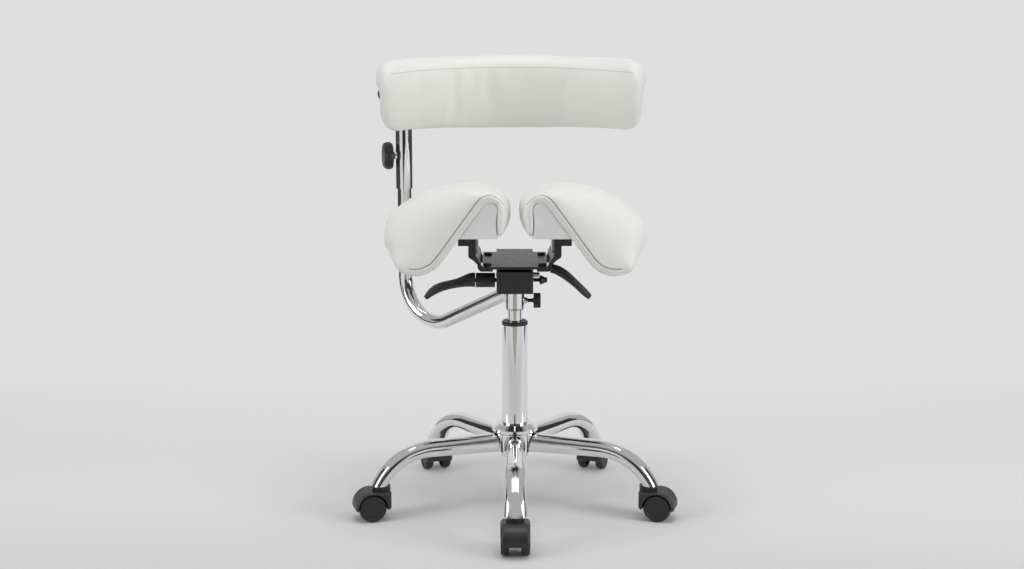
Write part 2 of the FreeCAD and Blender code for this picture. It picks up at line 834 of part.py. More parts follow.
def make_column():
    """The outer tube, closed by a plate at its foot."""
    inner = D.column_radius - D.column_wall
    hole = D.rod_radius + D.running_gap * 5
    turn(new_body("column_tube"),
         [(hole, D.column_bottom), (D.column_radius - 1, D.column_bottom),
          (D.column_radius, D.column_bottom + 1), (D.column_radius, D.column_top),
          (inner, D.column_top), (inner, BEARING_FLOOR), (hole, BEARING_FLOOR)])


def make_guide_bushing():
    """A flanged plastic guide for the cylinder, seated on the tube's rim."""
    inner = D.column_radius - D.column_wall
    top = D.column_top + D.bushing_flange
    bottom = D.column_top - D.bushing_length
    turn(new_body("guide_bushing"),
         [(CYLINDER_BORE, bottom), (inner, bottom), (inner, D.column_top),
          (D.column_radius, D.column_top), (D.column_radius, top - D.bushing_chamfer),
          (D.column_radius - D.bushing_chamfer, top), (CYLINDER_BORE + 1, top),
          (CYLINDER_BORE, top - 1)])


def make_thrust_bearing():
    """Two washers with a ball cage between them, round the rod's foot."""
    hole = float(D.rod_radius + D.running_gap * 5)
    outer = float(D.bearing_radius)
    washer = float(D.bearing_washer)
    ball = float(D.bearing_ball)
    solids = []
    for level in (float(BEARING_FLOOR), float(BEARING_FLOOR) + washer + ball):
        ring = Part.makeCylinder(outer, washer, V(0, 0, level))
        solids.append(ring.cut(Part.makeCylinder(hole, washer, V(0, 0, level))))
    gap = float(D.seat_gap)
    level = float(BEARING_FLOOR) + washer + gap
    cage = Part.makeCylinder(outer - 1.5, ball - 2 * gap, V(0, 0, level))
    solids.append(cage.cut(Part.makeCylinder(hole + 1.5, ball, V(0, 0, level))))
    new_feature("thrust_bearing", Part.makeCompound(solids))


def make_piston_rod():
    """The rod that stands on the thrust bearing, with its bottom clip and its piston."""
    clip_top = D.column_bottom - D.seat_gap
    clip = clip_top - D.rod_clip_thickness
    shoulder = BEARING_TOP + D.seat_gap
    head = D.rod_end + D.rod_length
    piston = D.cylinder_radius - D.cylinder_wall - D.running_gap
    turn(new_body("piston_rod"),
         [(0, D.rod_end), (D.rod_radius, D.rod_end), (D.rod_radius, clip), (D.rod_clip_radius, clip),
          (D.rod_clip_radius, clip_top), (D.rod_radius, clip_top), (D.rod_radius, shoulder),
          (D.bearing_radius - 4, shoulder), (D.bearing_radius - 4, shoulder + D.rod_shoulder),
          (D.rod_radius, shoulder + D.rod_shoulder), (D.rod_radius, head - D.piston_length),
          (piston, head - D.piston_length), (piston, head), (0, head)])


def make_gas_cylinder():
    """The sliding cylinder, with a gland below and a tapered head that holds the valve."""
    bore = D.cylinder_radius - D.cylinder_wall
    gland = D.rod_radius + D.running_gap
    valve = D.valve_radius + D.running_gap
    ceiling = D.cylinder_top - D.cylinder_head
    turn(new_body("gas_cylinder"),
         [(gland, D.cylinder_bottom), (D.cylinder_radius - 1, D.cylinder_bottom),
          (D.cylinder_radius, D.cylinder_bottom + 1), (D.cylinder_radius, D.housing_bottom),
          (D.cylinder_radius - D.cylinder_taper, D.cylinder_top), (valve, D.cylinder_top),
          (valve, ceiling), (bore, ceiling), (bore, D.cylinder_bottom + D.cylinder_gland),
          (gland, D.cylinder_bottom + D.cylinder_gland)])
    top = D.cylinder_top + D.valve_rise
    turn(new_body("valve_pin"),
         [(0, top - D.valve_length), (D.valve_radius, top - D.valve_length),
          (D.valve_radius, top - 0.6), (D.valve_radius - 0.6, top), (0, top)])
    ring_top = D.collar_bottom - D.seat_gap
    outer = D.cylinder_radius + D.stop_ring_width
    turn(new_body("stop_ring"),
         [(D.cylinder_radius, ring_top - D.stop_ring_thickness), (outer, ring_top - D.stop_ring_thickness),
          (outer, ring_top), (D.cylinder_radius, ring_top)])


# Mechanism under the seat

HOUSING_TOP = D.housing_bottom + D.housing_height
HOUSING_HALF = D.housing_width / 2
HOUSING_FLOOR = D.housing_bottom + D.housing_wall
PLATE_TOP = D.plate_underside + D.plate_thickness


def make_housing():
    """A folded trough open at the top, with the cylinder's conical socket and the lever's lugs."""
    body = new_body("mechanism_housing")
    side = draw(new_sketch(body, "YZ_Plane", "side_outline"),
                [(-D.housing_front, D.housing_bottom), (D.housing_rear, D.housing_bottom),
                 (D.housing_rear, D.housing_bottom + D.housing_rear_height),
                 (-D.housing_slope_start, HOUSING_TOP), (-D.housing_front, HOUSING_TOP)])
    pad(body, side, D.housing_width, "trough", side="Symmetric")
    front = float(-D.housing_front)

    def front_upright(edge):
        box = edge.BoundBox
        return abs(box.YMin - front) < 0.01 and box.YMax - box.YMin < 0.01 and box.ZMax - box.ZMin > 20

    soften(body, D.housing_wall, front_upright, name="trough_rounded")
    hollow = draw(new_sketch(body, "YZ_Plane", "hollow_outline"),
                  [(D.housing_wall - D.housing_front, HOUSING_FLOOR),
                   (D.housing_rear - D.housing_wall, HOUSING_FLOOR),
                   (D.housing_rear - D.housing_wall, HOUSING_TOP + 1),
                   (D.housing_wall - D.housing_front, HOUSING_TOP + 1)])
    pad(body, hollow, D.housing_width - D.housing_wall * 2, "hollow", side="Symmetric",
        kind="PartDesign::Pocket")
    boss = draw_circle(new_sketch(body, "XY_Plane", "socket_outline", D.housing_bottom), 0, 0,
                       D.housing_boss_radius)
    pad(body, boss, D.cylinder_top - D.housing_bottom, "socket")
    nut = new_sketch(body, "YZ_Plane", "nut_outline", HOUSING_HALF - D.tension_nut_length)
    pad(body, draw_circle(nut, D.tension_back, D.tension_level, D.tension_nut_radius),
        D.tension_nut_length, "tension_nut")
    near = D.tongue_width / 2 + D.lug_gap
    far = near + D.lug_thickness
    low, high = D.height_lever_level - D.lug_height / 2, D.height_lever_level + D.lug_height / 2
    for side in (1, -1):
        lug = new_sketch(body, "YZ_Plane", "lug_outline", D.housing_wall - HOUSING_HALF)
        draw(lug, [(near * side, low), (far * side, low), (far * side, high), (near * side, high)])
        pad(body, lug, D.lug_reach, "lug")
    lug_hole = draw_circle(new_sketch(body, "XZ_Plane", "lug_hole_outline"), -D.lever_pin_across,
                           D.height_lever_level, D.lever_pin_radius + D.running_gap)
    pad(body, lug_hole, far * 2 + 1, "lug_holes", side="Symmetric", kind="PartDesign::Pocket")
    cone = [(0, D.housing_bottom), (D.cylinder_radius, D.housing_bottom),
            (D.cylinder_radius - D.cylinder_taper, D.cylinder_top), (0, D.cylinder_top)]
    turn(body, cone, "cone", kind="PartDesign::Groove")
    pin = draw_circle(new_sketch(body, "YZ_Plane", "pin_outline"), D.pivot_back, D.pivot_height,
                      D.pivot_radius)
    pad(body, pin, D.housing_width + 2, "pin_holes", side="Symmetric", kind="PartDesign::Pocket")
    screw = new_sketch(body, "YZ_Plane", "screw_outline", HOUSING_HALF - D.tension_nut_length - 1)
    pad(body, draw_circle(screw, D.tension_back, D.tension_level,
                          D.tension_shaft_radius + D.running_gap),
        D.tension_nut_length + 2, "screw_hole", flip=True, kind="PartDesign::Pocket")
    slot = new_sketch(body, "YZ_Plane", "lever_slot_outline", -HOUSING_HALF - 1)
    pad(body, draw_circle(slot, 0, D.height_lever_level, D.lever_rod_radius + D.lever_slot_gap),
        D.housing_wall + 2, "lever_slot", flip=True, kind="PartDesign::Pocket")


def make_pivot_pin():
    """The cross pin that the seat plate tilts on, with a head outside the left wall."""
    head = HOUSING_HALF + D.pivot_head_length
    body = new_body("pivot_pin")
    turn(body, [(0, -HOUSING_HALF - 1), (D.pivot_radius, -HOUSING_HALF - 1),
                (D.pivot_radius, HOUSING_HALF), (D.pivot_head_radius, HOUSING_HALF),
                (D.pivot_head_radius, head - 1), (D.pivot_head_radius - 1, head), (0, head)])
    put(body, 0, D.pivot_back, D.pivot_height, V(0, 1, 0), 90)


def make_seat_plate():
    """The tilting plate: shoulders, a rear tongue, two ears on the pin and the lever's clevis."""
    body = new_body("seat_plate")
    half = D.plate_width / 2
    tongue = D.plate_tongue_width / 2
    plan = draw(new_sketch(body, "XY_Plane", "plate_outline", D.plate_underside),
                [(-half, -D.plate_front), (half, -D.plate_front), (half, D.plate_rear),
                 (tongue, D.plate_rear), (tongue, D.plate_tongue_rear),
                 (-tongue, D.plate_tongue_rear), (-tongue, D.plate_rear), (-half, D.plate_rear)])
    pad(body, plan, D.plate_thickness, "plate")
    ear_half = D.ear_width / 2
    bottom = D.plate_underside - D.ear_drop
    bend = D.pivot_height
    outside = HOUSING_HALF - D.housing_wall - D.seat_gap
    for side, name in ((1, "left"), (-1, "right")):
        lift = outside - D.ear_thickness if side > 0 else -outside
        ear = new_sketch(body, "YZ_Plane", name + "_ear_outline", lift)
        draw(ear, [(D.pivot_back - ear_half, D.plate_underside), (D.pivot_back - ear_half, bend, D.pivot_back,
                   bottom), (D.pivot_back + ear_half, bend), (D.pivot_back + ear_half, D.plate_underside)])
        pad(body, ear, D.ear_thickness, name + "_ear")
    hole = draw_circle(new_sketch(body, "YZ_Plane", "ear_hole_outline"), D.pivot_back, D.pivot_height,
                       D.pivot_radius + D.running_gap)
    pad(body, hole, D.housing_width, "ear_holes", side="Symmetric", kind="PartDesign::Pocket")
    lug_gap = D.lever_rod_radius + D.seat_gap
    reach = D.tilt_lever_pin_radius * 2
    pivot = D.tilt_lever_pivot
    for side in (-1, 1):
        start = -(D.tilt_lever_back + lug_gap * side)
        lug = new_sketch(body, "XZ_Plane", "lug_outline", start)
        draw(lug, [(pivot - reach, D.plate_underside), (pivot - reach, D.tilt_lever_level - reach),
                   (pivot + reach, D.tilt_lever_level - reach), (pivot + reach, D.plate_underside)])
        pad(body, lug, D.clevis_wall, "lug", flip=side > 0)
    span = (lug_gap + D.clevis_wall) * 2
    pin = new_sketch(body, "XZ_Plane", "lever_pin_outline", -(D.tilt_lever_back + span / 2))
    pad(body, draw_circle(pin, pivot, D.tilt_lever_level, D.tilt_lever_pin_radius), span, "lever_pin")
    holes = new_sketch(body, "XY_Plane", "bolt_hole_outline", PLATE_TOP)
    for across in (D.plate_bolt_spread, -D.plate_bolt_spread):
        for along in (D.plate_bolt_front, D.plate_bolt_rear):
            draw_circle(holes, across, along, D.bolt_radius)
    pad(body, holes, D.plate_thickness, "bolt_holes", kind="PartDesign::Pocket")


def make_plate_bolts():
    """Four button-head bolts through the plate into the bracket feet, one node of four solids."""
    base = float(PLATE_TOP)
    tip = float(D.plate_underside - D.bracket_foot)
    head = Part.makeCylinder(float(D.bolt_head_radius), float(D.bolt_head_height), V(0, 0, base))
    rim = [edge for edge in head.Edges if edge.Closed and len(edge.Vertexes) == 1
           and edge.CenterOfMass.z > base + 1]
    head = head.makeFillet(float(D.bolt_head_height) * 0.7, rim)
    bolt = head.fuse(Part.makeCylinder(float(D.bolt_radius), base - tip, V(0, 0, tip)))
    bolts = []
    for across in (D.plate_bolt_spread.value, -D.plate_bolt_spread.value):
        for along in (D.plate_bolt_front.value, D.plate_bolt_rear.value):
            copy = bolt.copy()
            copy.translate(V(across, along, 0))
            bolts.append(copy)
    new_feature("plate_bolts", Part.makeCompound(bolts))


# Levers and screws

def blade(stations, back):
    """Loft a lever grip through ovals; a station is across, level, half height, half width, fall."""
    sections = []
    diagonal = math.sqrt(0.5)
    turns = ((diagonal, diagonal), (0, 1), (-diagonal, diagonal), (-1, 0), (-diagonal, -diagonal), (0, -1),
             (diagonal, -diagonal), (1, 0), (diagonal, diagonal))
    for across, level, high, wide, fall in stations:
        slope = math.radians(fall)
        upright = V(math.sin(slope), 0, math.cos(slope)) * high
        centre = V(across, back, level)
        points = [centre + V(0, wide, 0) * side + upright * up for side, up in turns]
        sections.append(Part.Wire([Part.Arc(*points[first:first + 3]).toShape() for first in range(0, 7, 2)]))
    return Part.makeLoft(sections, True, False)


def make_height_lever():
    """Rod on a cross pin with a tongue over the valve, a ferrule by the housing, a drooping paddle."""
    level = float(D.height_lever_level)
    rod_radius = float(D.lever_rod_radius)
    ferrule = float(D.ferrule_radius)
    ferrule_end = float(D.ferrule_start + D.ferrule_length)
    paddle = ferrule_end + float(D.paddle_gap)
    pivot = float(D.height_lever_pivot)
    inward = V(-1, 0, 0)
    rod = Part.makeCylinder(rod_radius, paddle + 20 - pivot, V(-pivot, 0, level), inward)
    wide = float(D.tongue_width)
    thick = float(D.tongue_thickness)
    low = float(D.cylinder_top + D.valve_rise + D.tongue_gap)
    web = Part.makeBox(thick, wide, low + thick - level + rod_radius,
                       V(-pivot, -wide / 2, level - rod_radius))
    tongue = Part.makeBox(pivot + float(D.valve_radius), wide, thick, V(-pivot, -wide / 2, low))
    reach = wide / 2 + float(D.lug_gap + D.lug_thickness)
    pin = Part.makeCylinder(float(D.lever_pin_radius), 2 * reach,
                            V(-float(D.lever_pin_across), -reach, level), V(0, 1, 0))
    rod = rod.fuse([web, tongue, pin]).removeSplitter()
    collar = Part.makeCylinder(ferrule, float(D.ferrule_length), V(-float(D.ferrule_start), 0, level), inward)
    collar = collar.makeFillet(1.5, [edge for edge in collar.Edges if edge.Closed and len(edge.Vertexes) == 1])
    grip = blade([(-paddle, level, ferrule, ferrule, 0), (-paddle - 16, level - 1, 12, 13, -5),
                  (-paddle - 39, level - 7, 8.5, 15, -8), (-paddle - 62, level - 12.5, 8.5, 16, -22),
                  (-paddle - 84, level - 24, 7.5, 13, -38), (-paddle - 95, level - 35, 4.5, 8, -50)], 0)
    bore = Part.makeCylinder(rod_radius, paddle + 20 - pivot, V(-pivot, 0, level), inward)
    new_feature("height_lever", Part.makeCompound([rod, collar.cut(bore), grip.cut(bore)]))


def make_tilt_lever():
    """Rod hung on the plate's clevis pin, with a downswept grip outside the bracket."""
    back = float(D.tilt_lever_back)
    level = float(D.tilt_lever_level)
    pivot = float(D.tilt_lever_pivot)
    start = float(D.tilt_lever_start)
    radius = float(D.lever_rod_radius)
    pin = float(D.tilt_lever_pin_radius + D.running_gap)
    rod = Part.makeCylinder(radius, start + 18 - pivot + radius, V(pivot - radius, back, level), V(1, 0, 0))
    rod = rod.cut(Part.makeCylinder(pin, 4 * radius, V(pivot, back - 2 * radius, level), V(0, 1, 0)))
    grip = blade([(start, level, 8.5, 9, 0), (start + 12, level - 2.5, 9, 11, 18),
                  (start + 27, level - 11, 9, 13, 33), (start + 48, level - 28.5, 7.5, 13.5, 42),
                  (start + 67, level - 47, 7, 12, 46), (start + 77, level - 56.5, 5, 7, 40)], back)
    bore = Part.makeCylinder(radius, start + 18 - pivot + radius, V(pivot - radius, back, level), V(1, 0, 0))
    new_feature("tilt_lock_lever", Part.makeCompound([rod, grip.cut(bore)]))


def make_tension_screw():
    """A thin screw through the housing's left wall with a tapered, waisted head."""
    start = HOUSING_HALF - D.tension_nut_length - 1
    neck = D.tension_shaft_end
    head = D.tension_knob_radius
    end = neck + D.tension_knob_length
    body = new_body("tension_screw")
    turn(body, [(0, start), (D.tension_shaft_radius, start), (D.tension_shaft_radius, neck),
                (head, neck + 1), (head, neck + 5), (head - 3, end - 5, head - 3.5, end - 2),
                (head - 5, end), (0, end)])
    put(body, 0, D.tension_back, D.tension_level, V(0, 1, 0), 90)


# Seat brackets and straps

BRACKET_TOP = D.core_bottom - D.seat_gap


def slope_across(level, along):
    """How far out the board's sloping underside passes a level at one station."""
    row = board_row(float(D.board_thickness), along)
    (fold_x, fold_z), (valley_x, valley_z) = row[6], row[8]
    return fold_x + (valley_x - fold_x) * (fold_z - float(level)) / (fold_z - valley_z)


def make_bracket(label, side):
    """A ribbed casting from a foot under the plate up to the seat half, with a lever window."""
    body = new_body(label)
    foot = D.plate_underside - D.bracket_foot
    inner = D.bracket_inner
    waist = D.bracket_waist
    rear = float(D.bracket_front + D.bracket_length)
    flange = slope_across(D.bracket_shoulder, rear) - float(D.bracket_slope_gap)
    crown = slope_across(BRACKET_TOP, rear) - float(D.bracket_slope_gap)
    edge = D.plate_width / 2 + 1
    outline = [(D.bracket_foot_inner, foot), (edge + 1, foot, edge + 6, foot + 4),
               (edge + 8, foot + 13), (waist - 10, foot + 21), (waist - 1, foot + 27), (waist, foot + 31),
               (waist, D.bracket_flange_level), (flange, D.bracket_flange_level),
               (flange, D.bracket_shoulder), (crown, BRACKET_TOP), (inner, BRACKET_TOP),
               (inner, foot + 31), (edge + 4, foot + 18), (edge, D.plate_underside),
               (D.bracket_foot_inner, D.plate_underside)]
    if side < 0:
        outline = [tuple(-value if place % 2 == 0 else value for place, value in enumerate(corner))
                   for corner in outline]
    profile = draw(new_sketch(body, "XZ_Plane", "bracket_outline", -D.bracket_front), outline)
    pad(body, profile, D.bracket_length, "bracket_blank", flip=True)
    window = draw(new_sketch(body, "YZ_Plane", "window_outline"),
                  [(D.bracket_window_front, foot - 5), (D.bracket_window_rear, foot - 5),
                   (D.bracket_window_rear, D.bracket_window_top - 8),
                   (D.bracket_window_rear - 8, D.bracket_window_top),
                   (D.bracket_window_front + 8, D.bracket_window_top),
                   (D.bracket_window_front, D.bracket_window_top - 8)])
    pad(body, window, flange * 2 + 4, "window", side="Symmetric", kind="PartDesign::Pocket")
    outward = D.bracket_window_top + 3
    for step in range(3):
        front = D.bracket_front + 10 + D.bracket_rib_pitch * (2.3 * step)
        cell = new_sketch(body, "YZ_Plane", "rib_outline", (waist - D.bracket_rib_depth) * side)
        draw(cell, [(front, outward), (front + D.bracket_rib_pitch * 1.6, outward),
                    (front + D.bracket_rib_pitch * 1.6, D.bracket_flange_level),
                    (front, D.bracket_flange_level)])
        pad(body, cell, D.bracket_rib_depth + 1, "rib_cell", flip=side > 0, kind="PartDesign::Pocket")
    bolts = new_sketch(body, "XY_Plane", "bolt_hole_outline", D.plate_underside)
    for along in (D.plate_bolt_front, D.plate_bolt_rear):
        draw_circle(bolts, D.plate_bolt_spread * side, along, D.bolt_radius)
    pad(body, bolts, D.bracket_foot, "bolt_holes", kind="PartDesign::Pocket")
    return body


def make_straps():
    """Bright angle straps inside the brackets, one node of two solids."""
    thick = float(D.strap_thickness)
    inner = float(D.bracket_inner)
    top = float(BRACKET_TOP)
    front = float(D.strap_front)
    long = float(D.strap_length)
    low = float(D.strap_bottom)
    foot = float(D.strap_foot)
    upright = Part.makeBox(thick, long, top - low, V(inner - thick, front, low))
    shelf = Part.makeBox(foot, long, thick, V(inner - foot, front, top - thick))
    strap = upright.fuse(shelf).removeSplitter()
    mirrored = strap.mirror(V(0, 0, 0), V(1, 0, 0))
    new_feature("seat_straps", Part.makeCompound([strap, mirrored]))


# Seat halves

def chained(points, heading):
    """Add the middle point of each arc in a smooth chain that sets out along a heading."""
    row = [points[0]]
    for here, there in zip(points, points[1:]):
        across, up = there[0] - here[0], there[1] - here[1]
        chord = math.atan2(up, across)
        half_turn = (chord - heading + math.pi) % (2 * math.pi) - math.pi
        sagitta = math.hypot(across, up) / 2 * math.tan(half_turn / 2)
        middle = ((here[0] + there[0]) / 2 + math.sin(chord) * sagitta,
                  (here[1] + there[1]) / 2 - math.cos(chord) * sagitta)
        row += [middle, there]
        heading = chord + half_turn
    return row


def levels(along):
    """Heights of the fold and of the valley at one station: the fold falls to the rear."""
    share = (along - D.board_front.value) / (D.board_rear.value - D.board_front.value)
    apex = D.apex_height.value + share * (D.apex_rear_height.value - D.apex_height.value)
    valley = D.valley_height.value + share * (D.valley_rear_height.value - D.valley_height.value)
    return apex, valley


def board_row(sink, along):
    """The board's top line, sunk by a distance: a fold, a slope, a valley and a rising wing."""
    apex_up, valley_up = levels(along)
    fold, valley, wing = D.fold_round.value, D.valley_round.value, D.wing_round.value
    fold_x, fold_z = D.apex_across.value, apex_up - fold
    valley_x, valley_z = D.valley_across.value, valley_up + valley
    apart = math.hypot(valley_x - fold_x, fold_z - valley_z)
    slope = math.atan2(fold_z - valley_z, valley_x - fold_x) + math.asin((fold + valley) / apart)
    wing_turn = math.asin((D.board_outer.value - valley_x) / wing)
    inner = D.board_inner.value + sink * D.inner_wall_share.value
    right = [(fold_x, fold_z + fold - sink),
             (fold_x + (fold - sink) * math.sin(slope), fold_z + (fold - sink) * math.cos(slope)),
             (valley_x - (valley + sink) * math.sin(slope), valley_z - (valley + sink) * math.cos(slope)),
             (valley_x, valley_z - valley - sink),
             (valley_x + (wing + sink) * math.sin(wing_turn),
              valley_z - valley + wing - (wing + sink) * math.cos(wing_turn))]
    left = [right[0], (inner + 1, apex_up - D.fold_drop.value - sink / 2),
            (inner, D.apex_height.value - D.inner_wall_depth.value - sink / 2)]
    return chained(left, math.pi)[::-1] + chained(right, 0)[1:]


def arc_edges(row, along=0):
    """Arcs through every second point of a row, or a line where the three lie straight."""
    corners = [V(across, along, up) for across, up in row]
    edges = []
    for first in range(0, len(row) - 2, 2):
        start, middle, end = corners[first:first + 3]
        if middle.distanceToLine(start, end - start) < 0.01:
            edges.append(Part.makeLine(start, end))
        else:
            edges.append(Part.Arc(start, middle, end).toShape())
    return edges


def closed_by(edges, corners, along=0):
    """Close a chain of edges with straight lines through the corners."""
    start = edges[0].firstVertex().Point
    end = edges[-1].lastVertex().Point
    stops = [end] + [V(across, along, up) for across, up in corners] + [start]
    lines = [Part.makeLine(here, there) for here, there in zip(stops, stops[1:])]
    return Part.Wire(edges + lines)


def block_below(sink):
    """Everything below the board's top line, sunk by a distance, as a solid along Y."""
    floor = 400
    ends = []
    for along in (float(D.board_front) - 20, float(D.board_rear) + 20):
        row = board_row(sink, along)
        heading = 2 * math.atan2(row[-1][1] - row[-3][1], row[-1][0] - row[-3][0])
        beyond = (row[-1][0] + 60 * math.cos(heading), row[-1][1] + 60 * math.sin(heading))
        corners = [beyond, (beyond[0], floor), (row[0][0], floor)]
        ends.append(closed_by(arc_edges(row, along), corners, along))
    return Part.makeLoft(ends, True, True)


def seat_plan(inner, inner_corner):
    """Upright prism with the rounded plan of one seat half, inside the circle the post clears."""
    front, rear = float(D.board_front), float(D.board_rear)
    outer = float(D.seat_clear_radius)
    low, tall = 400, 300
    plan = Part.makeBox(outer, rear - front, tall, V(inner, front, low))
    plan = plan.common(Part.makeCylinder(outer, tall, V(0, 0, low)))

    def rounded(shape, at_inner, along, radius):
        for edge in shape.Edges:
            box = edge.BoundBox
            upright = box.ZMax - box.ZMin > tall - 1
            if upright and abs(box.YMin - along) < 0.01 and (box.XMin < inner + 1) == at_inner:
                return shape.makeFillet(radius, [edge])
        return shape

    plan = rounded(plan, False, front, float(D.board_front_corner))
    plan = rounded(plan, False, rear, float(D.board_rear_corner))
    plan = rounded(plan, True, front, inner_corner)
    return rounded(plan, True, rear, inner_corner)


def seat_board():
    """The bent board: its top line, its sunk line and the two edges between, from front to rear."""
    ends = []
    for along in (float(D.board_front), float(D.board_rear)):
        top = board_row(0, along)
        under = board_row(D.board_thickness.value, along)[::-1]
        edge = Part.makeLine(V(top[-1][0], along, top[-1][1]), V(under[0][0], along, under[0][1]))
        ends.append(closed_by(arc_edges(top, along) + [edge] + arc_edges(under, along), [], along))
    slab = Part.makeLoft(ends, True, True)
    return slab.common(seat_plan(float(D.board_inner), float(D.board_inner_corner)))


def seat_core():
    """The moulded block that fills the fold of the board down to its flat underside."""
    front, long = float(D.core_front), float(D.core_rear - D.core_front)
    wide = float(D.valley_across - D.core_inner)
    slab = Part.makeBox(wide, long, float(D.fold_height), V(float(D.core_inner), front, float(D.core_bottom)))
    return block_below(float(D.board_thickness + D.seat_gap)).common(slab)


def crest_row(along):
    """The cushion's full outline over its crest, from the gap round to the outer lip."""
    apex, valley = levels(along)
    fallen = D.apex_height.value - apex
    high = apex + D.crest_rise.value
    top = (D.crest_across.value, high)
    outer, inner, inner_up = D.crest_outer.value, D.crest_inner.value, D.crest_inner_height.value
    right = [top, (outer - 51, high - 25), (outer - 9, high - 66 + fallen / 2),
             (outer - 5, valley + D.crest_outer_rise.value)]
    left = [top, (inner + 44, high - 5), (inner + 3, inner_up + 26 - fallen * 0.8), (inner + 13, inner_up - 24)]
    return chained(left, math.pi)[::-1] + chained(right, 0)[1:]


def cushion_section(along, swell):
    """Closed outline of the cushion at one station; swell is 0 at the seam and 1 at the crest."""
    limit = math.sqrt(D.seat_clear_radius.value ** 2 - along ** 2)
    turn_in = D.crest_across.value
    squeeze = min(1, (limit - turn_in) / (D.crest_outer.value + 2 - turn_in))
    row = []
    for low, high in zip(board_row(0, along), crest_row(along)):
        across = low[0] + (high[0] - low[0]) * swell
        up = low[1] + (high[1] - low[1]) * swell
        if across > turn_in:
            across = turn_in + (across - turn_in) * squeeze
        row.append((across, up))
    apex, valley = levels(along)
    fold = D.apex_across.value
    floor = [(row[-1][0] - 6, valley - 28), (row[-1][0] * 0.62, valley - 28), (fold + 12, apex - 47),
             (fold - 2, D.crest_inner_height.value - 30)]
    return closed_by(arc_edges(row, along), floor, along)


def seat_cushion():
    """Crowned cushion lofted front to rear, its underside cut to lie on the board."""
    front, rear = float(D.board_front), float(D.board_rear)
    stations = [(front, 0.1), (front + 4, 0.32), (front + 12, 0.52), (front + 26, 0.74), (front + 48, 0.9),
                (front + 90, 0.98), (float(D.crest_back), 1), (rear - 92, 0.97), (rear - 58, 0.88),
                (rear - 32, 0.74), (rear - 14, 0.52), (rear - 4, 0.3), (rear, 0.1)]
    sections = [cushion_section(*station) for station in stations]
    loft = Part.makeLoft(sections, True, True)
    plan = seat_plan(1, float(D.board_front_corner))
    return loft.cut(block_below(-float(D.seat_gap))).common(plan)


def make_seat():
    board = seat_board()
    core = seat_core()
    cushion = seat_cushion()
    for side, name in ((1, "left"), (-1, "right")):
        for label, shape in (("seat_board_", board), ("seat_core_", core), ("seat_cushion_", cushion)):
            solid = shape.copy() if side > 0 else shape.mirror(V(0, 0, 0), V(1, 0, 0))
            new_feature(label + name, solid)
        make_bracket("seat_bracket_" + name, side)
    make_straps()


# Backrest arm, sleeve and pad

POST_COSINE = cosine(D.post_angle)
POST_SINE = sine(D.post_angle)


def make_arm_collar():
    """The clamp collar round the cylinder, with the boss for its thumb screw towards +X."""
    body = new_body("arm_collar")
    top = D.collar_bottom + D.collar_height
    radius = D.collar_radius
    chamfer = D.collar_chamfer
    turn(body, [(CYLINDER_BORE, D.collar_bottom), (radius - chamfer, D.collar_bottom),
                (radius, D.collar_bottom + chamfer), (radius, top - chamfer), (radius - chamfer, top),
                (CYLINDER_BORE, top)])
    boss = new_sketch(body, "YZ_Plane", "boss_outline", D.cylinder_radius + 2)
    draw_circle(boss, 0, D.thumb_level, D.thumb_boss_radius)
    pad(body, boss, radius + D.thumb_boss_length - D.cylinder_radius - 2, "boss")
    hole = new_sketch(body, "YZ_Plane", "screw_outline", D.cylinder_radius - 3)
    draw_circle(hole, 0, D.thumb_level, D.thumb_shaft_radius + D.running_gap)
    pad(body, hole, radius + D.thumb_boss_length - D.cylinder_radius + 4, "screw_hole", flip=True,
        kind="PartDesign::Pocket")


def make_backrest_arm():
    """One bent tube: the post, the elbow and the run that climbs to the collar."""
    body = new_body("backrest_arm")
    out = D.post_radius
    fall = D.arm_fall
    slope = tangent(fall)
    corner = D.arm_root_height - out * slope
    setback = D.arm_elbow_radius * tangent(fall / 2 + 45)
    centre_out = out - D.arm_elbow_radius
    centre_up = corner + setback
    leave_out = out - setback * cosine(fall)
    leave_up = corner + setback * sine(fall)
    half_turn = fall / 2 + 45
    middle_out = centre_out + D.arm_elbow_radius * cosine(half_turn)
    middle_up = centre_up - D.arm_elbow_radius * sine(half_turn)
    near = D.cylinder_radius + 1
    path = new_sketch(body, "XZ_Plane", "arm_path")
    draw(path, [(out, D.post_top), (out, centre_up, middle_out, middle_up), (leave_out, leave_up),
                (near, D.arm_root_height - near * slope)], closed=False)
    for kind, radius, name in (("PartDesign::AdditivePipe", D.arm_tube_radius, "tube"),
                               ("PartDesign::SubtractivePipe", D.arm_tube_radius - D.arm_tube_wall, "bore")):
        ring = draw_circle(new_sketch(body, "XY_Plane", name + "_outline", D.post_top), out, 0, radius)
        pipe = body.newObject(kind, name)
        pipe.Profile = ring
        pipe.Spine = path
    turn(body, [(0, D.collar_bottom - 20), (D.collar_radius, D.collar_bottom - 20),
                (D.collar_radius, D.arm_trim_height + 40), (0, D.arm_trim_height + 40)], "collar_room",
         kind="PartDesign::Groove")
    trim = draw(new_sketch(body, "XZ_Plane", "trim_outline"),
                [(0, D.arm_trim_height), (D.housing_rear, D.arm_trim_height),
                 (D.housing_rear, D.arm_trim_height + 40), (0, D.arm_trim_height + 40)])
    pad(body, trim, D.arm_tube_radius * 4, "trim", side="Symmetric", kind="PartDesign::Pocket")
    put(body, angle=D.post_angle)


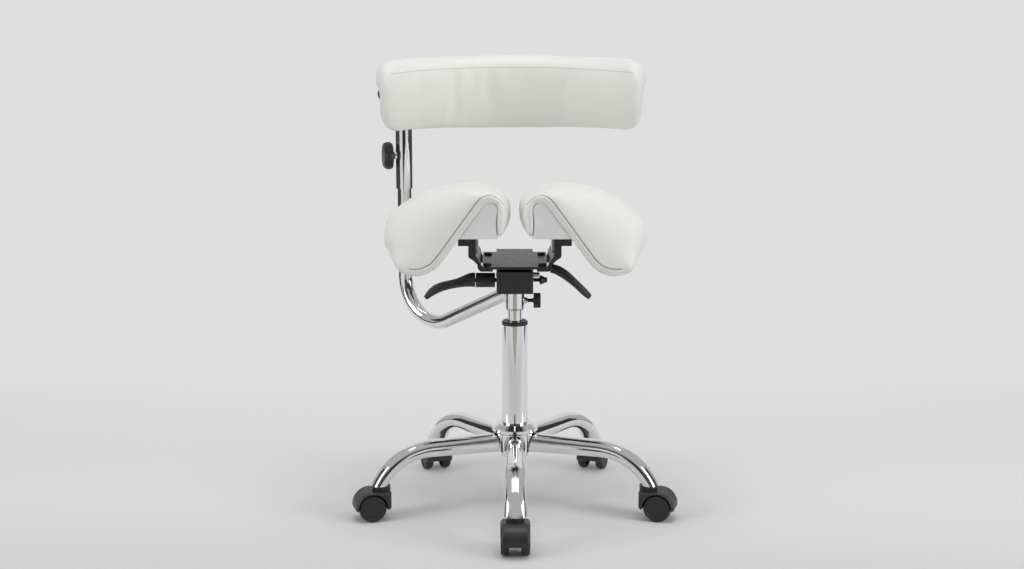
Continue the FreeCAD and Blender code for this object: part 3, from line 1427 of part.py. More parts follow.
def make_thumb_screw():
    """The collar's clamping screw with a fluted head."""
    body = new_body("collar_thumb_screw")
    knob = D.thumb_knob_radius
    start = D.thumb_knob_start
    end = start + D.thumb_knob_length
    turn(body, [(0, D.cylinder_radius + D.seat_gap), (D.thumb_shaft_radius, D.cylinder_radius + D.seat_gap),
                (D.thumb_shaft_radius, start - 3), (D.thumb_shaft_radius + 2, start),
                (knob - 1, start), (knob, start + 1), (knob, end - 1), (knob - 1, end), (0, end)])
    flute = new_sketch(body, "XY_Plane", "flute_outline", start - 1)
    draw_circle(flute, knob + D.thumb_flute_radius * 0.55, 0, D.thumb_flute_radius)
    cut = pad(body, flute, D.thumb_knob_length + 2, "flute", flip=True, kind="PartDesign::Pocket")
    around(body, cut, D.thumb_flute_count)
    put(body, 0, 0, D.thumb_level, V(0, 1, 0), 90)


def make_back_sleeve():
    """The sliding sleeve, its liner bush, and the boss for the star screw."""
    x = D.post_radius * POST_COSINE
    y = D.post_radius * POST_SINE
    radius = float(D.sleeve_radius)
    inner = radius - float(D.sleeve_wall)
    bottom = float(D.sleeve_bottom)
    tall = float(D.rail_height) - bottom
    foot = V(float(x), float(y), bottom)
    sleeve = Part.makeCylinder(radius, tall, foot)
    heading = V(-float(cosine(D.star_turn)), -float(sine(D.star_turn)), 0)
    screw = V(float(x), float(y), float(D.star_level))
    boss = Part.makeCylinder(float(D.star_boss_radius), radius + float(D.star_boss_length), screw, heading)
    sleeve = sleeve.fuse(boss).cut(Part.makeCylinder(inner, tall, foot))
    hole = Part.makeCylinder(float(D.star_screw_radius + D.running_gap), 2 * radius, screw, heading)
    sleeve = sleeve.cut(hole).cut(rail_solid(float(D.rail_radius)))
    new_feature("back_sleeve", sleeve.removeSplitter())
    liner = Part.makeCylinder(inner, float(D.liner_length), foot)
    bore = Part.makeCylinder(float(D.arm_tube_radius + D.running_gap), float(D.liner_length), foot)
    new_feature("sleeve_liner", liner.cut(bore))


def rail_solid(radius):
    """A tube's outside along the rail's arc."""
    centre = D.rail_centre_angle.value
    half = D.rail_half_span.value
    start = math.radians(centre - half)
    ring = float(D.rail_ring_radius)
    origin = V(ring * math.cos(start), ring * math.sin(start), float(D.rail_height))
    disc = Part.Face(Part.Wire([Part.makeCircle(radius, origin, V(-math.sin(start), math.cos(start), 0))]))
    return disc.revolve(V(0, 0, 0), UP, 2 * half)


def make_back_rail():
    """The curved tube behind the pad, and its two domed plugs."""
    outer = float(D.rail_radius)
    inner = outer - float(D.rail_wall)
    new_feature("back_rail", rail_solid(outer).cut(rail_solid(inner)))
    ring = float(D.rail_ring_radius)
    caps = []
    for side in (-1, 1):
        angle = math.radians(D.rail_centre_angle.value + side * D.rail_half_span.value)
        outward = V(-math.sin(angle), math.cos(angle), 0) * side
        face = V(ring * math.cos(angle), ring * math.sin(angle), float(D.rail_height))
        disc = Part.makeCylinder(outer, float(D.cap_thickness), face, outward)
        rim = [edge for edge in disc.Edges if edge.Closed and len(edge.Vertexes) == 1
               and (edge.CenterOfMass - face).dot(outward) > 1]
        disc = disc.makeFillet(3, rim)
        plug = Part.makeCylinder(inner - 0.3, float(D.cap_plug), face, outward * -1)
        caps.append(disc.fuse(plug))
    new_feature("rail_caps", Part.makeCompound(caps))


def pad_section(angle, skew, share, drop):
    """Closed outline of the pad across its length; share shrinks it towards its own middle."""
    inner, outer, roll = float(D.pad_inner), float(D.pad_outer), float(D.pad_roll_outer)
    bottom = float(D.pad_bottom) - drop
    seam, top = float(D.pad_seam_height), float(D.pad_top)
    under = float(D.pad_roll_underside)
    outline = [(inner + 3, bottom + 9), (inner - 2, (bottom + seam) / 2), (inner + 1, seam),
               (inner + 10, top - 8), ((inner + roll) / 2, top), (roll - 7, top - 10), (roll, top - 27),
               (roll - 9, under + 3), (outer - 0.6, under - 4), (outer, float(D.rail_height) - 6),
               (outer - 4, bottom + 9), ((inner + outer) / 2, bottom), (inner + 3, bottom + 9)]
    mid_out, mid_up = (inner + roll) / 2, (seam + bottom) / 2 + 10
    line = outer - 1
    bearing, facing = math.radians(angle), math.radians(angle - skew)
    points = []
    for out, up in outline:
        out = mid_out + (out - mid_out) * (0.35 + 0.65 * share) - line
        up = mid_up + (up - mid_up) * share
        points.append(V(line * math.cos(bearing) + out * math.cos(facing),
                        line * math.sin(bearing) + out * math.sin(facing), up))
    edges = [Part.Arc(*points[first:first + 3]).toShape() for first in range(0, len(points) - 2, 2)]
    return Part.Wire(edges)


def make_back_cushion():
    """The curved pad: a thick top roll over a thinner panel, its ends rounded and turned forwards."""
    centre, half = D.pad_centre_angle.value, D.pad_half_span.value
    end_span = math.degrees(D.pad_end_length.value / D.pad_outer.value)
    inside = half - end_span
    ends = [(1, 0.48), (0.9, 0.72), (0.74, 0.86), (0.5, 0.96), (0.24, 0.993)]
    right = [(-inside - end_span * reach, share) for reach, share in ends]
    middle_steps = 12
    middle = [(inside * (2 * step / middle_steps - 1), 1) for step in range(middle_steps + 1)]
    left = [(-turned, share) for turned, share in right[::-1]]
    sections = []
    for turned, share in right + middle + left:
        place = turned / half
        skew = D.pad_end_skew.value * math.copysign(max(0, (abs(place) - 0.6) / 0.4), place)
        drop = D.pad_sag.value * math.cos(place * math.pi / 2)
        sections.append(pad_section(centre + turned, skew, share, drop))
    pad_solid = Part.makeLoft(sections, True, True)
    low = float(D.pad_bottom) - 40
    foot = V(float(D.post_radius * POST_COSINE), float(D.post_radius * POST_SINE), low)
    channel = Part.makeCylinder(float(D.sleeve_radius + D.seat_gap), float(D.rail_height + D.seat_gap) - low, foot)
    new_feature("back_cushion", pad_solid.cut(channel))


def make_star_knob():
    """A six-lobed knob on its clamping screw, pointing to the right and a little to the front."""
    body = new_body("star_knob")
    x = D.post_radius * POST_COSINE
    y = D.post_radius * POST_SINE
    tip = D.arm_tube_radius + D.seat_gap
    hub = D.sleeve_radius + D.star_boss_length + 1
    start = hub + D.star_hub_length
    end = start + D.star_thickness
    turn(body, [(0, tip), (D.star_screw_radius, tip), (D.star_screw_radius, hub), (D.star_hub_radius - 1, hub),
                (D.star_hub_radius + 2, start), (D.star_radius - 2, start + 1, D.star_radius, start + 5),
                (D.star_radius - 1, end - 4, D.star_radius - 3, end - 1), (D.star_radius - 8, end), (0, end)])
    notch = new_sketch(body, "XY_Plane", "notch_outline", start - 1)
    draw_circle(notch, D.star_radius + D.star_notch_radius * 0.35, 0, D.star_notch_radius)
    cut = pad(body, notch, D.star_thickness + 2, "notch", flip=True, kind="PartDesign::Pocket")
    around(body, cut, D.star_lobes)
    put(body, x, y, D.star_level)
    sideways = FreeCAD.Rotation(V(0, 1, 0), -90)
    body.Placement.Rotation = FreeCAD.Rotation(UP, float(D.star_turn)).multiply(sideways)


def check_parts():
    """Stop if any object failed to build or any sub-part is empty or broken."""
    DOC.recompute()
    faults = []
    for item in DOC.Objects:
        if "Invalid" in item.State or "Error" in item.State:
            faults.append("%s of %s" % (item.Name, item.State))
    for label, item in PARTS.items():
        if item.Shape.isNull() or not item.Shape.isValid() or item.Shape.Volume <= 0:
            faults.append("shape of " + label)
    if faults:
        raise RuntimeError("failed: " + ", ".join(faults))


def write_parts():
    os.makedirs("parts", exist_ok=True)
    for label, item in PARTS.items():
        item.Shape.exportStep("parts/%s.step" % label)
    print(len(PARTS), "parts")


make_hub()
make_base_arms()
make_stem_sockets()
make_casters()
make_column()
make_guide_bushing()
make_thrust_bearing()
make_piston_rod()
make_gas_cylinder()
make_housing()
make_pivot_pin()
make_seat_plate()
make_plate_bolts()
make_height_lever()
make_tilt_lever()
make_tension_screw()
make_seat()
make_arm_collar()
make_backrest_arm()
make_thumb_screw()
make_back_rail()
make_back_sleeve()
make_back_cushion()
make_star_knob()
check_parts()
write_parts()
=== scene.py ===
# %% [markdown]
# # A saddle stool in white leather and chrome
# The stool has two padded seat halves with a gap between them, a curved backrest that swings
# round the column, two levers under the seat and a star base on five twin casters. Its hard parts
# come in as a frame that is already to size. This script adds what a maker would see and touch:
# leather, seams, welts, plated steel and moulded plastic.

# %% Load the frame
import bpy
import bmesh
import json
import math
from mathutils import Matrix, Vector
from mathutils.bvhtree import BVHTree


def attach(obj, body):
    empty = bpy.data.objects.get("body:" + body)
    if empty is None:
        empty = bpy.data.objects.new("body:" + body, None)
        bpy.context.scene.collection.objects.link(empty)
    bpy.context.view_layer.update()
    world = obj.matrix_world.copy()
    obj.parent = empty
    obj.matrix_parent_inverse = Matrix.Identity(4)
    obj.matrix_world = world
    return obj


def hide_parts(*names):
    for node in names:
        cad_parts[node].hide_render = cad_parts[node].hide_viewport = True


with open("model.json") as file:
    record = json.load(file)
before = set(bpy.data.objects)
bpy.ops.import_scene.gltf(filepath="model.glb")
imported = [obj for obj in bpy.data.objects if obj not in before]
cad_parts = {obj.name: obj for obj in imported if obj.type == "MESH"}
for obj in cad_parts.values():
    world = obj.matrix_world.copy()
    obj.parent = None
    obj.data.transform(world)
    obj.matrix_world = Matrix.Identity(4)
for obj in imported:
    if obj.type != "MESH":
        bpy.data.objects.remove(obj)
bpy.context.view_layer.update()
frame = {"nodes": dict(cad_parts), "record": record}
nodes = frame["nodes"]

# %% [markdown]
# ## The camera
# The photograph was taken from a little above the seat and almost straight on, with a long lens,
# so the base shows its front arm pointing at the viewer. A real camera would stand about three
# and a half metres away. The lens length follows from how wide the known parts look from there.

# %% Camera
PHOTO_WIDTH = 1024
FOCAL_PIXELS = 1861
SENSOR_WIDTH = 36
CAMERA_PLACE = (-0.014, -3.5, 1.164)
CAMERA_DOWN = 11.67
CAMERA_TURN = -0.14
camera_data = bpy.data.cameras.new("camera")
camera_data.sensor_width = SENSOR_WIDTH
camera_data.lens = FOCAL_PIXELS / PHOTO_WIDTH * SENSOR_WIDTH
camera = bpy.data.objects.new("camera", camera_data)
camera.location = CAMERA_PLACE
camera.rotation_euler = (math.radians(90 - CAMERA_DOWN), 0, math.radians(CAMERA_TURN))
bpy.context.scene.collection.objects.link(camera)
bpy.context.scene.camera = camera
print("lens", round(camera_data.lens, 1), "mm")

# %% [markdown]
# ## A small kit for materials
# Every finish here is a node tree on the Principled shader. Values that are the same all over the
# surface go straight on the shader's socket, and only what really varies, such as grain, is
# linked. All patterns read Object coordinates in metres, so their scale is true.

# %% Helpers for node trees
def node_tree(name, color, roughness, metallic=0.0):
    """A new material with its Principled shader and its Object coordinates."""
    material = bpy.data.materials.new(name)
    material.use_nodes = True
    tree = material.node_tree
    shader = tree.nodes["Principled BSDF"]
    shader.inputs["Base Color"].default_value = (*color, 1)
    shader.inputs["Roughness"].default_value = roughness
    shader.inputs["Metallic"].default_value = metallic
    place = tree.nodes.new("ShaderNodeTexCoord")
    return material, tree, shader, place


def noise(tree, place, scale, detail=3.0, stretch=(1, 1, 1)):
    """Noise on Object coordinates; scale is waves per metre."""
    mapping = tree.nodes.new("ShaderNodeMapping")
    mapping.inputs["Scale"].default_value = stretch
    texture = tree.nodes.new("ShaderNodeTexNoise")
    texture.inputs["Scale"].default_value = scale
    texture.inputs["Detail"].default_value = detail
    tree.links.new(place.outputs["Object"], mapping.inputs["Vector"])
    tree.links.new(mapping.outputs["Vector"], texture.inputs["Vector"])
    return texture.outputs["Fac"]


def mapped(tree, source, start, end, low=0.0, high=1.0, smooth=False):
    """Map the values from start to end onto those from low to high."""
    ramp = tree.nodes.new("ShaderNodeMapRange")
    if smooth:
        ramp.interpolation_type = "SMOOTHSTEP"
    ramp.inputs["From Min"].default_value = start
    ramp.inputs["From Max"].default_value = end
    ramp.inputs["To Min"].default_value = low
    ramp.inputs["To Max"].default_value = high
    tree.links.new(source, ramp.inputs["Value"])
    return ramp.outputs["Result"]


def spread(tree, source, low, high):
    """Map a noise, which keeps to its middle values, onto a narrow band."""
    return mapped(tree, source, 0.3, 0.7, low, high)


def combined(tree, operation, first, second, clamp=False):
    """One number out of two by a plain operation."""
    math_node = tree.nodes.new("ShaderNodeMath")
    math_node.operation = operation
    math_node.use_clamp = clamp
    tree.links.new(first, math_node.inputs[0])
    tree.links.new(second, math_node.inputs[1])
    return math_node.outputs["Value"]


def tinted(tree, source, dark, light):
    """Blend two colours by a pattern."""
    mix = tree.nodes.new("ShaderNodeMix")
    mix.data_type = "RGBA"
    mix.inputs["A"].default_value = (*dark, 1)
    mix.inputs["B"].default_value = (*light, 1)
    tree.links.new(source, mix.inputs["Factor"])
    return mix.outputs["Result"]


def bump(tree, shader, source, strength, depth):
    """Raise the surface by a pattern; depth is in metres."""
    relief = tree.nodes.new("ShaderNodeBump")
    relief.inputs["Strength"].default_value = strength
    relief.inputs["Distance"].default_value = depth
    tree.links.new(source, relief.inputs["Height"])
    tree.links.new(relief.outputs["Normal"], shader.inputs["Normal"])


print("node helpers ready")

# %% [markdown]
# ## White leather
# The covers are smooth corrected leather: a pebble of about a millimetre that only shows where
# the light grazes it, with a faint warm unevenness from the hide. Cell-shaped noise gives the
# pebble, and broad soft noise gives the unevenness.

# %% White leather
PEBBLES_PER_METRE = 700
PORES_PER_METRE = 1500
PEBBLE_SHARE = 0.6
GRAIN_DEPTH = 0.00035


def make_leather(name, color):
    """Smooth leather with a fine pebble, a little uneven in tone and gloss."""
    material, tree, shader, place = node_tree(name, color, 0.46)
    pebble = tree.nodes.new("ShaderNodeTexVoronoi")
    pebble.inputs["Scale"].default_value = PEBBLES_PER_METRE
    tree.links.new(place.outputs["Object"], pebble.inputs["Vector"])
    height = tree.nodes.new("ShaderNodeMath")
    height.operation = "MULTIPLY_ADD"
    height.inputs[1].default_value = PEBBLE_SHARE
    tree.links.new(pebble.outputs["Distance"], height.inputs[0])
    tree.links.new(noise(tree, place, PORES_PER_METRE, 2), height.inputs[2])
    bump(tree, shader, height.outputs["Value"], 0.25, GRAIN_DEPTH)
    darker = tuple(value * 0.965 for value in color)
    uneven = tinted(tree, noise(tree, place, 9, 3), darker, color)
    tree.links.new(uneven, shader.inputs["Base Color"])
    tree.links.new(spread(tree, noise(tree, place, 60, 3), 0.42, 0.52), shader.inputs["Roughness"])
    shader.inputs["Sheen Weight"].default_value = 0.08
    return material


leather = make_leather("white_leather", (0.83, 0.825, 0.79))
# Painted shade: a greyer copy of the leather for the shade in the back panel's seam groove
groove_shade_leather = make_leather("groove_shade_leather", (0.62, 0.615, 0.585))
# seam_shade is painted shade: a dark copy of the leather for the shadow in the seat seam's crevice
seam_shade = make_leather("seam_shade", (0.26, 0.255, 0.24))
print("leather made")

# %% [markdown]
# ## Plated and painted metal
# Chrome is almost a mirror, so its look is mostly what stands round it. A trace of uneven
# roughness keeps it from looking like glass. The zinc straps are duller and brushed along their
# length. The black paint under the seat is a powder coat with a fine orange peel.

# %% Metals
def make_metal(name, color, rough_low, rough_high, peel, stretch=(1, 1, 1)):
    """Bare or plated metal; stretch draws the fine grain out along an axis."""
    material, tree, shader, place = node_tree(name, color, rough_low, 1.0)
    fine = noise(tree, place, 220, 3, stretch)
    tree.links.new(spread(tree, fine, rough_low, rough_high), shader.inputs["Roughness"])
    broad = noise(tree, place, 14, 2)
    darker = tuple(value * 0.94 for value in color)
    tree.links.new(tinted(tree, broad, darker, color), shader.inputs["Base Color"])
    bump(tree, shader, fine, peel, 0.0001)
    return material


chrome = make_metal("chrome", (0.86, 0.865, 0.875), 0.045, 0.085, 0.02)
steel = make_metal("ground_steel", (0.56, 0.57, 0.58), 0.2, 0.34, 0.08, (1, 1, 8))
zinc = make_metal("zinc_plate", (0.70, 0.70, 0.68), 0.22, 0.38, 0.1, (1, 9, 1))
print("metals made")

# %% Black paint
def make_powder_coat(name, color):
    """Stove-hardened powder paint with a fine orange peel and a thin gloss."""
    material, tree, shader, place = node_tree(name, color, 0.42)
    bump(tree, shader, noise(tree, place, 900, 2), 0.3, 0.0002)
    tree.links.new(spread(tree, noise(tree, place, 70, 3), 0.37, 0.45), shader.inputs["Roughness"])
    lighter = tuple(value * 1.12 for value in color)
    uneven = tinted(tree, noise(tree, place, 30, 3), color, lighter)
    tree.links.new(uneven, shader.inputs["Base Color"])
    shader.inputs["Coat Weight"].default_value = 0.15
    return material


black_paint = make_powder_coat("black_powder_coat", (0.028, 0.028, 0.029))
print("black paint made")

# %% [markdown]
# ## Moulded plastic
# The levers, knobs, hoods and wheels are black nylon with a spark-eroded texture, and the blocks
# in the seat halves are a plain grey moulding. One recipe makes them all: a fine even grain, with
# a little wear in the gloss.

# %% Plastics
def make_plastic(name, color, roughness, grain=0.35):
    """A moulding with a fine even grain, lighter and glossier where it is worn."""
    material, tree, shader, place = node_tree(name, color, roughness)
    bump(tree, shader, noise(tree, place, 1300, 2), grain, 0.00018)
    worn = noise(tree, place, 45, 4)
    gloss = spread(tree, worn, roughness - 0.06, roughness + 0.07)
    tree.links.new(gloss, shader.inputs["Roughness"])
    lighter = tuple(min(1, value * 1.2) for value in color)
    tree.links.new(tinted(tree, worn, color, lighter), shader.inputs["Base Color"])
    return material


black_plastic = make_plastic("black_plastic", (0.018, 0.018, 0.019), 0.42)
wheel_plastic = make_plastic("wheel_plastic", (0.014, 0.014, 0.015), 0.5, 0.2)
grey_plastic = make_plastic("grey_plastic", (0.69, 0.69, 0.70), 0.48, 0.12)
print("plastics made")

# %% [markdown]
# ## One finish for every part of the frame
# The frame's record names a finish slot for each part. A table from slot to material dresses all
# the hard parts at once, and the soft parts are replaced further down. The casters' axles end in
# the wheels' own black moulding, so no bright steel shows there.

# %% Dress the frame
finish_of = {
    "chrome": chrome, "steel": steel, "zinc": zinc, "black_paint": black_paint,
    "black_plastic": black_plastic, "grey_plastic": grey_plastic, "white_leather": leather,
    "wheel_black": wheel_plastic,
}
slot_of = {part["node"]: part["material_slot"] for part in frame["record"]["subparts"]}
for name, piece in nodes.items():
    piece.data.materials.clear()
    piece.data.materials.append(finish_of[slot_of[name]])
axle_ends = [name for name in nodes if name.startswith("caster_") and name.endswith("_pins")]
for name in axle_ends:
    nodes[name].data.materials[0] = wheel_plastic
print("dressed", len(nodes), "parts,", len(axle_ends), "with capped axle ends")

# %% [markdown]
# ## Helpers for new pieces
# A new piece often starts as a welded copy of a frame part, because the frame's meshes are loose
# triangles. The copy is free to be smoothed, cut and swollen.

# %% Link a piece
def place_piece(name, mesh, body, material):
    """Link a mesh as a piece that rides on a body."""
    piece = bpy.data.objects.new(name, mesh)
    bpy.context.scene.collection.objects.link(piece)
    mesh.materials.clear()
    mesh.materials.append(material)
    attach(piece, body)
    return piece


# %% Welded copies
WELD = 0.00005
SLIVER = 0.00002


def welded_copy(name, *parts, tip=None):
    """The meshes of some frame parts in one, joined, and the hollow at the tip filled by a hull."""
    bm = bmesh.new()
    for part in parts:
        bm.from_mesh(nodes[part].data)
    bmesh.ops.remove_doubles(bm, verts=bm.verts, dist=WELD)
    bmesh.ops.dissolve_degenerate(bm, edges=bm.edges, dist=SLIVER)
    if tip:
        outward, below = tip
        places = [vertex.co.copy() for vertex in bm.verts
                  if abs(vertex.co.x) > outward and vertex.co.z < below]
        points = [bm.verts.new(place) for place in places]
        bmesh.ops.convex_hull(bm, input=points)
        inside = [point for point in points if not point.link_faces]
        bmesh.ops.delete(bm, geom=inside, context="VERTS")
    mesh = bpy.data.meshes.new(name)
    bm.to_mesh(mesh)
    bm.free()
    return mesh


# %% Fix modifiers
def shade_smooth(mesh):
    for polygon in mesh.polygons:
        polygon.use_smooth = True


def apply_modifiers(piece):
    """Fix all the modifiers of a piece into its mesh."""
    graph = bpy.context.evaluated_depsgraph_get()
    graph.update()
    fixed = bpy.data.meshes.new_from_object(piece.evaluated_get(graph))
    piece.modifiers.clear()
    old = piece.data
    piece.data = fixed
    bpy.data.meshes.remove(old)
    shade_smooth(piece.data)


def smoothed(piece, passes, group=""):
    """Relax a piece, or only the points of one of its groups."""
    smooth = piece.modifiers.new("smooth", "SMOOTH")
    smooth.factor = 0.5
    smooth.iterations = passes
    smooth.vertex_group = group
    apply_modifiers(piece)


print("piece helpers ready")

# %% [markdown]
# ## Padding
# A real cushion is foam under a tight cover. The cloth solver does the same: the shape gets an even
# mesh, is relaxed a little, blown up with a low pressure and stopped before it leaves its own
# outline. What lies against a neighbour is pinned, as it is glued there. At last the cover is drawn
# tight again, which takes the small folds out.

# %% Even mesh and soft tip
VOXEL = 0.004
TIP_BLEND = 0.012
TIP_PASSES = 16


def search_tree(mesh):
    """A search tree over a mesh's surface."""
    return BVHTree.FromPolygons([vertex.co for vertex in mesh.vertices],
                                [polygon.vertices for polygon in mesh.polygons])


def even_mesh(piece, relaxed):
    """Give a piece an even mesh of small squares and relax its sharp edges."""
    remesh = piece.modifiers.new("even_mesh", "REMESH")
    remesh.mode = "VOXEL"
    remesh.voxel_size = VOXEL
    apply_modifiers(piece)
    smoothed(piece, relaxed)


def soften_tip(piece, outward, below):
    """Round a cushion off where it lies further out and lower than given."""
    group = piece.vertex_groups.new(name="soft_tip")
    for vertex in piece.data.vertices:
        past_side = abs(vertex.co.x) - outward
        past_height = below - vertex.co.z
        if past_side > 0 and past_height > 0:
            weight = min(1, past_side / TIP_BLEND, past_height / TIP_BLEND)
            group.add([vertex.index], weight, "REPLACE")
    smoothed(piece, TIP_PASSES, "soft_tip")
    piece.vertex_groups.clear()


# %% Cloth cover
GLUED_REACH = 0.004
SWELL_CAP = 0.004
CLOTH_FRAMES = 20


def pin_to(piece, holder):
    """Pin the points that lie against a neighbour, given as a tree of its surface."""
    group = piece.vertex_groups.new(name="pinned")
    for vertex in piece.data.vertices:
        if holder.find_nearest(vertex.co, GLUED_REACH)[0] is not None:
            group.add([vertex.index], 1.0, "REPLACE")


def blow_up(piece, holder, pressure):
    """Let the cloth solver swell a cover, and stop each point at the cap."""
    start = [vertex.co.copy() for vertex in piece.data.vertices]
    pin_to(piece, holder)
    cloth = piece.modifiers.new("cover", "CLOTH")
    cloth.settings.use_pressure = True
    cloth.settings.uniform_pressure_force = pressure
    cloth.settings.effector_weights.gravity = 0
    cloth.settings.vertex_group_mass = "pinned"
    cloth.settings.tension_stiffness = 25
    cloth.settings.bending_stiffness = 6
    for step in range(1, CLOTH_FRAMES + 1):
        bpy.context.scene.frame_set(step)
    apply_modifiers(piece)
    for vertex, before in zip(piece.data.vertices, start):
        move = vertex.co - before
        if move.length > SWELL_CAP:
            vertex.co = before + move * (SWELL_CAP / move.length)
    bpy.context.scene.frame_set(1)


# %% From a solid to a cushion
def upholster(piece, holder, pressure, relaxed, plump, tight, tip=None):
    """Remesh, inflate and cap a cushion, draw its cover tight, and fix the result."""
    even_mesh(piece, relaxed)
    if tip:
        soften_tip(piece, *tip)
    blow_up(piece, holder, pressure)
    smoothed(piece, tight)
    for vertex in piece.data.vertices:
        vertex.co += vertex.normal * plump
    finer = piece.modifiers.new("finer", "SUBSURF")
    finer.levels = 1
    finer.render_levels = 1
    apply_modifiers(piece)
    print(piece.name, len(piece.data.vertices), "points")

# %% [markdown]
# ## The seat halves
# Each half is a crowned cushion drawn down over a bent board, all in one leather cover, so the
# cushion and its board start as one body. The two are mirror images, but each is swollen by
# itself, so that they differ as little as two sewn covers do.

# %% Seat cushions
SEAT_TIP = (0.18, 0.535)
seat_pads = {}
for side in ("left", "right"):
    cushion, board = "seat_cushion_" + side, "seat_board_" + side
    joined = welded_copy("seat_pad_" + side, cushion, board, tip=SEAT_TIP)
    pad = place_piece("seat_pad_" + side, joined, "tilt", leather)
    upholster(pad, search_tree(nodes[board].data), pressure=3.0, relaxed=3, plump=0.0006, tight=2,
              tip=SEAT_TIP)
    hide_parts(cushion, board)
    seat_pads[side] = pad

# %% [markdown]
# ## The backrest pad
# The pad is one long bolster, bent round the sitter, with a roll along its top. It is glued to its
# rail, so the cover is pinned there, and it is drawn tighter than the seat.

# %% Backrest pad
back_pad = place_piece("back_pad", welded_copy("back_pad", "back_cushion"), "back", leather)
upholster(back_pad, search_tree(nodes["back_rail"].data), pressure=2.0, relaxed=4, plump=0.0009,
          tight=18)
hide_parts("back_cushion")

# %% [markdown]
# ## Seams
# The seat's cover is closed by a seam where the cushion meets the board. Its fine dark line is
# painted shade: a dark tube stands for the shadow in the seam's crevice, with the turned edge of
# the leather, a thin welt, below it. The board's own upper rim gives the route: of all its sharp
# edges, the seam takes those that the cushion touches.

# %% Tube along a route
def piping(name, routes, radius, body, material):
    """A thin round strip along routes of points, as a mesh piece."""
    curve = bpy.data.curves.new(name, "CURVE")
    curve.dimensions = "3D"
    curve.bevel_depth = radius
    curve.bevel_resolution = 3
    curve.use_fill_caps = True
    for route in routes:
        spline = curve.splines.new("POLY")
        spline.points.add(len(route) - 1)
        for point, place in zip(spline.points, route):
            point.co = (*place, 1)
    holder = bpy.data.objects.new(name, curve)
    mesh = bpy.data.meshes.new_from_object(holder)
    bpy.data.objects.remove(holder)
    shade_smooth(mesh)
    return place_piece(name, mesh, body, material)


# %% Rows of points
def chains_of(edges):
    """Walk edges, in the order given, into rows of vertices."""
    left = dict.fromkeys(edges)
    chains = []
    while left:
        edge = next(iter(left))
        del left[edge]
        row = list(edge.verts)
        for grow_end in (True, False):
            while True:
                tip = row[-1] if grow_end else row[0]
                step = next((item for item in tip.link_edges if item in left), None)
                if step is None:
                    break
                del left[step]
                row.insert(len(row) if grow_end else 0, step.other_vert(tip))
        chains.append(row)
    return chains


def evened(row, spacing, passes=3):
    """Points a given distance apart along a row, rounded a little at its kinks."""
    picked = [row[0]]
    for point in row[1:-1]:
        if (point - picked[-1]).length >= spacing:
            picked.append(point)
    picked.append(row[-1])
    for _ in range(passes):
        middle = [(a + b * 2 + c) / 4 for a, b, c in zip(picked, picked[1:], picked[2:])]
        picked = [picked[0]] + middle + [picked[-1]]
    return picked


def close_set(spots, spacing):
    """Add spots between those that lie far apart; each is a place and a way out."""
    full = [spots[0]]
    for (a, way_a), (b, way_b) in zip(spots, spots[1:]):
        steps = max(1, round((b - a).length / spacing))
        full += [(a.lerp(b, step / steps), way_a.lerp(way_b, step / steps).normalized())
                 for step in range(1, steps + 1)]
    return full


# %% The board's rim
RIM_WELD = 0.0002
RIM_ANGLE = 25
RIM_REACH = 0.0025
SHORTEST_RIM = 0.05
RIM_SPACING = 0.003


def rim_of(bm, cushion):
    """The rim's edges, and at each vertex the ways up to the cushion and out to the side."""
    def gap(face):
        return cushion.find_nearest(face.calc_center_median())[3]

    rim = []
    up, out = {}, {}
    for edge in bm.edges:
        if len(edge.link_faces) != 2 or edge.calc_face_angle(0) < math.radians(RIM_ANGLE):
            continue
        if all(cushion.find_nearest(vertex.co, RIM_REACH)[0] is not None for vertex in edge.verts):
            rim.append(edge)
            top, side_face = sorted(edge.link_faces, key=gap)
            for vertex in edge.verts:
                up[vertex] = up.get(vertex, Vector()) + top.normal
                out[vertex] = out.get(vertex, Vector()) + side_face.normal
    return rim, up, out


def rim_rows(side, lifts):
    """The board's rim under the cushion, as rows of (place, way out) for each lift towards it."""
    cushion = search_tree(nodes["seat_cushion_" + side].data)
    bm = bmesh.new()
    bm.from_mesh(nodes["seat_board_" + side].data)
    bmesh.ops.remove_doubles(bm, verts=bm.verts, dist=RIM_WELD)
    bmesh.ops.recalc_face_normals(bm, faces=bm.faces)
    rim, up, out = rim_of(bm, cushion)
    rows = [[] for _ in lifts]
    for chain in chains_of(rim):
        if sum((b.co - a.co).length for a, b in zip(chain, chain[1:])) > SHORTEST_RIM:
            for row, lift in zip(rows, lifts):
                spots = [(vertex.co + up[vertex].normalized() * lift, out[vertex].normalized())
                         for vertex in chain]
                row.append(close_set(spots, RIM_SPACING))
    bm.free()
    return rows


# %% Onto the cover
REACHES = (0.004, 0.008, 0.014, 0.022)
REACH_PAST = 0.01


def seen_from_outside(tree, place, way, sink):
    """The surface near a place as it is met from outside, and a little below it."""
    for reach in REACHES:
        spot, normal, _, _ = tree.ray_cast(place + way * reach, -way, reach + REACH_PAST)
        if spot is not None and normal.dot(way) > 0.05:
            return spot - normal * sink
    return None


def laid_on(rows, tree, sink):
    """Rows of (place, way out) laid on a surface."""
    laid = []
    for row in rows:
        found = [seen_from_outside(tree, place, way, sink) for place, way in row]
        found = [spot for spot in found if spot is not None]
        if len(found) > 8:
            laid.append(evened(found, RIM_SPACING))
    return laid


# %% Seat seams
SEAM_RADIUS = 0.0009
SEAM_LIFT = 0.0012
SEAM_SINK = 0.0001
WELT_RADIUS = 0.0013
WELT_LIFT = -0.0032
WELT_SINK = 0.0004
for side in ("left", "right"):
    surface = search_tree(seat_pads[side].data)
    upper, lower = rim_rows(side, (SEAM_LIFT, WELT_LIFT))
    seams = laid_on(upper, surface, SEAM_SINK)
    welts = laid_on(lower, surface, WELT_SINK)
    # The dark seam tube is painted shade, the shadow in the crevice between cushion and board
    piping("seat_seam_shade_" + side, seams, SEAM_RADIUS, "tilt", seam_shade)
    piping("seat_welt_" + side, welts, WELT_RADIUS, "tilt", leather)
    print("seams", side, [len(row) for row in seams], "welts", [len(row) for row in welts])
